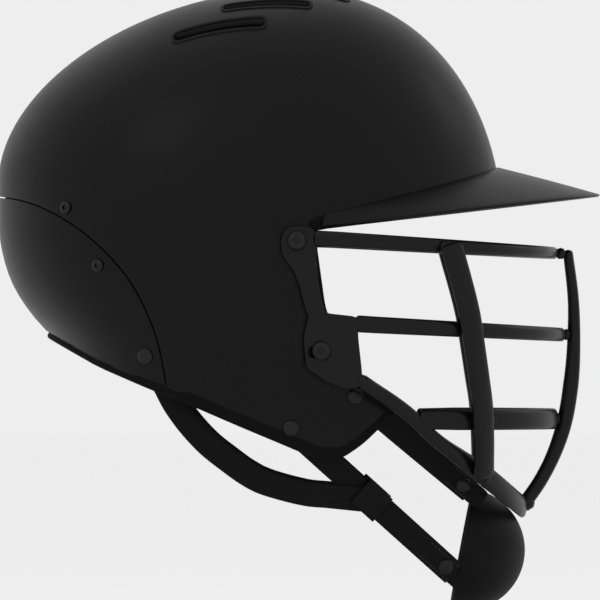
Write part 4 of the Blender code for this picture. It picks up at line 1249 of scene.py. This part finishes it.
def addPiping(name, points):
    # a cord sewn round a pad's edge
    points = smoothLine([*points, points[0]], 180)[:-1]
    rings, radius = [], lining["piping"]
    turns = np.linspace(0, math.tau, 8, endpoint=False)
    for i, point in enumerate(points):
        ahead = aheadAt(points, i, True)
        across = unit(np.cross(ahead, (0.21, 0.34, 0.91)))
        up = np.cross(ahead, across)
        rings.append([point + radius * (across * math.cos(t) + up * math.sin(t)) for t in turns])
    hang(drawnAlong(f"{name}Piping", rings, loop=True), "helmet", "piping")


def padTable():
    # each pad's two ends in plan, its upper and lower edges and its two depths
    table = {}
    for name, side in {"": 1.0, **sides}.items():
        for kind, (ends, shape, depth, paired) in lining["pads"].items():
            if paired == bool(name):
                node = f"{kind}_pad_{name}" if name else f"{kind}_pad"
                table[node] = (side * ends[0], side * ends[1]), oval(*shape), lining[depth]
    return table


def makePads():
    for node, (turns, edges, depths) in padTable().items():
        words = node.split("_")
        name = words[0] + "".join(word.title() for word in words[1:])
        pad = stuffed(drawnAlong(name, padRings(turns, edges, depths)), lining["cap"])
        hang(pad, "helmet", "fabric", node)
        upper, lower = [], []
        for share in np.linspace(-1, 1, 22):
            turn = math.radians(np.interp(share, (-1, 1), turns))
            low, high = edges(share)
            upper.append(formPoint(turn, riseOf(high - 0.5), sum(depths) / 2))
            lower.append(formPoint(turn, riseOf(low + 0.5), sum(depths) / 2))
        addPiping(name, [*upper, *lower[::-1]])
    turns = np.linspace(0, math.tau, 48, endpoint=False)
    low, high = lining["pad"]
    layers = [
        (low + 0.4, 87), (low + 0.4, 80), (low + 0.4, 70), (low + 1.2, 64), (low + 3.2, 62.4), (high - 1.2, 64),
        (high - 0.4, 70), (high - 0.4, 80), (high - 0.4, 87),
    ]
    rings = [formRing(turns, math.radians(rise), depth) for depth, rise in layers]
    crown = stuffed(drawnAlong("crownPad", rings), lining["crownCap"])
    hang(crown, "helmet", "fabric", "crown_pad")
    addPiping("crownPad", list(formRing(turns[::2], math.radians(lining["crownRise"]), (low + high) / 2)))


makeLiner()
makeVentMesh()
print("liner and vent mesh made")
makePads()
print("pads made")

# Chin harness: straps, sewn ends, dividers, chin cup

strapWork = {
    "width": 13.0, "thick": 1.5, "short": 3.0, "studFromEnd": 9.0, "junctionX": 64.0, "blendOver": 34.0,
    "stitchHalf": (0.95, 0.3, 0.22), "stitchRows": (-4.6, 4.6), "frontFrames": 110, "rearFrames": 170,
    "ends": {"upper": (119.0, 41.0, -140.3), "lower": (110.0, 45.0, -184.4)},
    "walls": {
        "upper": [(49.5, -82.5), (56.0, -88.0), (64.0, -94.5)],
        "lower": [(16.5, -100.1), (22.0, -105.0), (28.5, -110.9)],
        "rear": [(-58.5, -61.2), (-55.0, -67.0), (-48.3, -78.0)],
    },
    "rearFree": [(-41.6, 93.0, -89.0), (-33.0, 92.8, -101.3), (-22.4, 92.2, -113.0), (-11.2, 91.2, -122.0),
                 (-0.5, 89.8, -129.6), (10.0, 87.8, -134.6)],
}
cup = {
    "centre": (112.7, 0.0, -170.2), "radii": (34.0, 46.0, 33.0), "leanDeg": 10.6, "power": 2.6, "thick": 2.6,
    "pad": (3.0, 8.0), "padFill": 0.7, "tabReach": 8.0, "tabLength": 22.0, "tabHalf": 5.5,
}


def strapLine(place, side):
    # the free stretch of a front strap: its wall points, end, and three directions
    end = np.array(strapWork["ends"][place]) * (1, side, 1)
    wall = [sidePoint(x, z, side, hardware["strapDepth"]) for x, z in strapWork["walls"][place]]
    ahead = unit(end - wall[-1])
    across = unit(np.array([-ahead[2], 0.0, ahead[0]]))
    out = unit(np.cross(across, ahead))
    out = out if out[1] * side > 0 else -out
    return {"wall": wall, "end": end, "ahead": ahead, "across": across, "out": out}


def onStrap(line, back, sideways=0.0, out=0.0):
    return line["end"] - line["ahead"] * back + line["across"] * sideways + line["out"] * out


def strapFrames(points, normals, count):
    path = smoothLine(points, count)
    normals = np.array(normals, float)
    places = np.linspace(0, len(normals) - 1, count)
    facing = np.column_stack([np.interp(places, range(len(normals)), c) for c in normals.T])
    frames = []
    for i, point in enumerate(path):
        ahead = aheadAt(path, i)
        out = squaredTo(ahead, facing[i])
        frames.append((point, out, unit(np.cross(ahead, out))))
    return frames


def webbingStrap(name, frames):
    # flat webbing with thin rounded selvedges; its uv is in centimetres along and round
    half, thick = strapWork["width"] / 2, strapWork["thick"] / 2
    top = [(a, thick * (1 - 0.28 * abs(a / half) ** 6)) for a in np.linspace(-half + 0.55, half - 0.55, 13)]
    section = [*top, (half - 0.15, thick * 0.5), (half, 0.0), (half - 0.15, -thick * 0.5),
               *[(a, -b) for a, b in top[::-1]],
               (-half + 0.15, -thick * 0.5), (-half, 0.0), (-half + 0.15, thick * 0.5)]
    strap = drawnAlong(name, [[p + across * a + out * b for a, b in section] for p, out, across in frames])
    length = sum(np.linalg.norm(b[0] - a[0]) for a, b in zip(frames[:-1], frames[1:]))
    for corner in strap.data.uv_layers.active.data:
        corner.uv = (corner.uv.x * length / 10, corner.uv.y * (strapWork["width"] + strapWork["thick"]) / 5)
    return strap


def stitches(name, frames):
    # rows of thread over both faces of a strap's sewn stretch
    rows = []
    for sideways in strapWork["stitchRows"]:
        for point, out, across in frames[::2]:
            for face in (-1, 1):
                at = point + across * sideways + out * face * (strapWork["thick"] / 2 + 0.02)
                rows.append((at, across, out))
    pick()
    bpy.ops.mesh.primitive_uv_sphere_add(segments=6, ring_count=4, radius=1)
    pattern = bpy.context.object
    copies = []
    long, wide, tall = strapWork["stitchHalf"]
    for at, across, out in rows:
        copy = pattern.copy()
        copy.data = pattern.data.copy()
        bpy.context.scene.collection.objects.link(copy)
        ahead = np.cross(across, out)
        for vertex in copy.data.vertices:
            x, y, z = vertex.co
            vertex.co = Vector(at + ahead * x * long + across * y * wide + out * z * tall) * mm
        copies.append(copy)
    bpy.data.objects.remove(pattern)
    return joined(name, copies)


def makeStraps():
    lines = {}
    for name, side in sides.items():
        for place in ("upper", "lower"):
            line = strapLine(place, side)
            lines[place, name] = line
            x, z = anchors[place]
            free = [onStrap(line, back) for back in (48.0, 33.0, 18.0, strapWork["short"])]
            normals = [sideNormal(x, z, side)] * 3 + [line["out"]] * 4
            frames = strapFrames([*line["wall"], *free], normals, strapWork["frontFrames"])
            strap = webbingStrap(f"{place}Strap{name.title()}", frames)
            stud = onStrap(line, strapWork["studFromEnd"])
            carve(strap, normalHole("rivetHole", (x, z), side, holeRadii["strap"]),
                  spun("studHole", [(-8, 2.05), (8, 2.05)], stud, line["out"], 20))
            dress(strap, "webbing", f"{place}_strap_{name}")
            start, end = line["wall"][1], line["wall"][1] + line["ahead"] * strapWork["blendOver"]
            tuple(start * mm)
            tuple(end * mm)
            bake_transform(strap)
            sewn = stitches(f"{place}Stitching{name.title()}", frames[92:109])
            hang(sewn, "chin_harness", "thread")
            layers = (-tabOffset() - cup["thick"] / 2, strapWork["thick"] / 2)
            domedRivet(
                f"{place}Stud{name.title()}", f"{place}_stud_{name}", "chin_harness", stud, line["out"], layers,
                hardware["studHead"], hardware["stud"],
            )
        makeRearStrap(name, side, lines["lower", name])
        makeDivider(name)
    return lines


def tabOffset():
    return strapWork["thick"] / 2 + grille["layerGap"] + cup["thick"] / 2


def makeRearStrap(name, side, lower):
    mirror = np.array([1, side, 1])
    lift = strapWork["thick"] + 0.8
    back = (lower["end"][0] - strapWork["junctionX"]) / lower["ahead"][0]
    junction = onStrap(lower, back)
    level = np.array([0.994, 0.0, -0.107])
    level[1] = -np.dot(level, lower["out"]) / lower["out"][1]
    along = unit(level)
    x, z = anchors["rear"]
    wall = [sidePoint(*at, side, hardware["strapDepth"]) for at in strapWork["walls"]["rear"]]
    free = [np.array(p) * mirror for p in strapWork["rearFree"]]
    last = [junction + lower["out"] * lift - along * b for b in (38.0, 24.0, 10.0, 0.0)]
    normals = [sideNormal(x, z, side)] * 3 + [np.array([0.1, side, -0.1])] * 5 + [lower["out"]] * 5
    frames = strapFrames([*wall, *free, *last], normals, strapWork["rearFrames"])
    # the strap's last stretch is drawn as a piece of its own
    split = int(np.argmin([np.linalg.norm(point - last[0]) for point, _, _ in frames]))
    stretches = (
        ("", frames[:split + 1], "helmet", "chin_harness", wall[2], frames[split - 3][0]),
        ("End", frames[split:], "chin_harness", f"divider_{name}", frames[split + 1][0], last[2]),
    )
    for part, stretch, first, second, start, end in stretches:
        strap = webbingStrap(f"rearStrap{part}{name.title()}", stretch)
        if first == "helmet":
            carve(strap, normalHole("rivetHole", (x, z), side, holeRadii["strap"]))
            dress(strap, "webbing", f"rear_strap_{name}")
        else:
            dress(strap, "webbing")
        tuple(start * mm)
        tuple(end * mm)
        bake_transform(strap)


def makeDivider(name):
    # the part's own solid with its flats merged and its edges rounded
    pick(frame["nodes"][f"divider_{name}"])
    bpy.ops.object.duplicate()
    piece = bpy.context.object
    piece.parent = None
    piece.name = f"divider{name.title()}"
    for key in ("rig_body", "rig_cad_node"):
        del piece[key]
    editWhole(
        piece, (bpy.ops.mesh.remove_doubles, {"threshold": 1e-5}),
        (bpy.ops.mesh.dissolve_limited, {"angle_limit": math.radians(2)}),
    )
    softenEdges(piece, 0.35, 3)
    hang(piece, f"divider_{name}", "moulding", f"divider_{name}")


def cupPoint(polarDeg, aroundDeg, depth=0.0):
    polar, around = math.radians(polarDeg), math.radians(aroundDeg)
    spread = [math.copysign(abs(v) ** (2 / cup["power"]), v) * math.sin(polar)
              for v in (math.cos(around), math.sin(around))]
    a, y, u = (np.array(cup["radii"]) - depth) * np.array([math.cos(polar), *spread])
    lean = math.radians(cup["leanDeg"])
    ahead, up = np.array([math.cos(lean), 0, -math.sin(lean)]), np.array([math.sin(lean), 0, math.cos(lean)])
    return np.array(cup["centre"]) + a * ahead + y * np.array([0, 1, 0]) + u * up


def cupRings(layers, columns=72):
    arounds = np.linspace(0, 360, columns, endpoint=False)
    return [[cupPoint(polar, a, depth) for a in arounds] for polar, depth in layers]


def makeCup(lines):
    thick = cup["thick"]
    polars = list(np.linspace(0.3, 88, 26))
    layers = [*[(p, 0.0) for p in polars], (89.4, 0.15), (90.2, 0.6), (90.5, thick / 2), (90.2, thick - 0.6),
              (89.4, thick - 0.15), *[(p, thick) for p in polars[::-1]]]
    shell = drawnAlong("chinCup", cupRings(layers))
    hollow = drawnAlong("cupHollow", cupRings([(p, thick) for p in [0.3, *np.linspace(6, 104, 18)]], 48))
    for line in lines.values():
        low, high = -tabOffset() - thick / 2, -tabOffset() + thick / 2
        reach, length = cup["tabReach"], cup["tabLength"]
        half = cup["tabHalf"]
        corners = [(-reach, -half), (length - reach, -half), (length - reach, half), (-reach, half)]
        outline = roundCorners(corners, 3.0)
        tab = drawnAlong("cupTab", [[onStrap(line, b, a, out) for b, a in outline] for out in (low, high)])
        carve(tab, hollow, keep=True)
        carve(shell, tab, operation="UNION")
    bpy.data.objects.remove(hollow)
    bore = holeRadii["tab"]
    holes = [
        spun("tabHole", [(-8, bore), (2, bore)], onStrap(line, strapWork["studFromEnd"]), line["out"], 20)
        for line in lines.values()
    ]
    carve(shell, joined("tabHoles", holes))
    softenEdges(shell, 0.3)
    hang(shell, "chin_harness", "moulding", "chin_cup")
    low, high = cup["pad"]
    layers = [*[(p, low + 0.4) for p in np.linspace(4, 82, 16)], (84, low + 1.2), (84.6, (low + high) / 2),
              (84, high - 1.2), *[(p, high - 0.4) for p in np.linspace(4, 82, 16)[::-1]]]
    pad = stuffed(drawnAlong("chinCupPad", cupRings(layers, 48)), lining["cupCap"])
    hang(pad, "chin_harness", "foam", "chin_cup_pad")


makeCup(makeStraps())
print("harness made")

# Floor, light and camera

studio = {
    "world": 0.855, "floorShade": 0.985, "floorRadius": 14.0, "lens": 1000.0, "frameWidth": 320.0,
    "middleX": 26.7, "middleZ": -37.3,
    "boxes": (("sideBox", 2.6, 0.9, (-0.9, -1.6, 1.5)), ("frontBox", 1.6, 0.7, (1.9, 0.8, 1.1))),
}


def floorHeight():
    # just below the lowest that the chin cup comes as the harness swings
    swing = next(joint for joint in frame["joints"] if joint["name"] == "harness_swing")
    pivot = Vector(swing["pos_m"])
    turns = [Matrix.Rotation(math.radians(turn), 3, Vector(swing["axis"])) for turn in swing["range_deg"]]
    arms = [point.co - pivot for point in frame["nodes"]["chin_cup"].data.vertices]
    return min((pivot + turn @ arm).z for turn in turns for arm in arms) - 0.001


def makeStage():
    scene = bpy.context.scene
    scene.view_settings.view_transform = "Standard"
    world = bpy.data.worlds.new("pale studio")
    world.use_nodes = True
    world.node_tree.nodes["Background"].inputs["Color"].default_value = (1, 1, 1, 1)
    world.node_tree.nodes["Background"].inputs["Strength"].default_value = studio["world"]
    scene.world = world
    pick()
    bpy.ops.mesh.primitive_circle_add(
        vertices=96, radius=studio["floorRadius"], fill_type="NGON", location=(0, 0, floorHeight())
    )
    floor = bpy.context.object
    floor.name = "studioFloor"
    bpy.ops.object.transform_apply(location=True, rotation=False, scale=False)
    paper = Finish("pale paper", **{"Specular IOR Level": 0.0, "Roughness": 1.0})
    shade = studio["floorShade"]
    paper.shader.inputs["Base Color"].default_value = (shade, shade, shade, 1)
    floor.data.materials.append(paper.material)
    for name, energy, size, place in studio["boxes"]:
        pick()
        bpy.ops.object.light_add(type="AREA", location=place)
        light = bpy.context.object
        light.name = name
        light.data.energy, light.data.size = energy, size
        light.rotation_euler = (Vector((0.02, 0, 0.0)) - Vector(place)).to_track_quat("-Z", "Y").to_euler()
    camera = bpy.data.cameras.new("longLens")
    camera.lens = studio["lens"]
    camera.sensor_width = 36.0
    distance = studio["frameWidth"] * mm * studio["lens"] / camera.sensor_width
    holder = bpy.data.objects.new("longLens", camera)
    scene.collection.objects.link(holder)
    holder.location = (studio["middleX"] * mm, -distance, studio["middleZ"] * mm)
    holder.rotation_euler = (math.radians(90), 0, 0)
    camera.clip_start, camera.clip_end = 0.5, 60.0
    scene.camera = holder


makeStage()
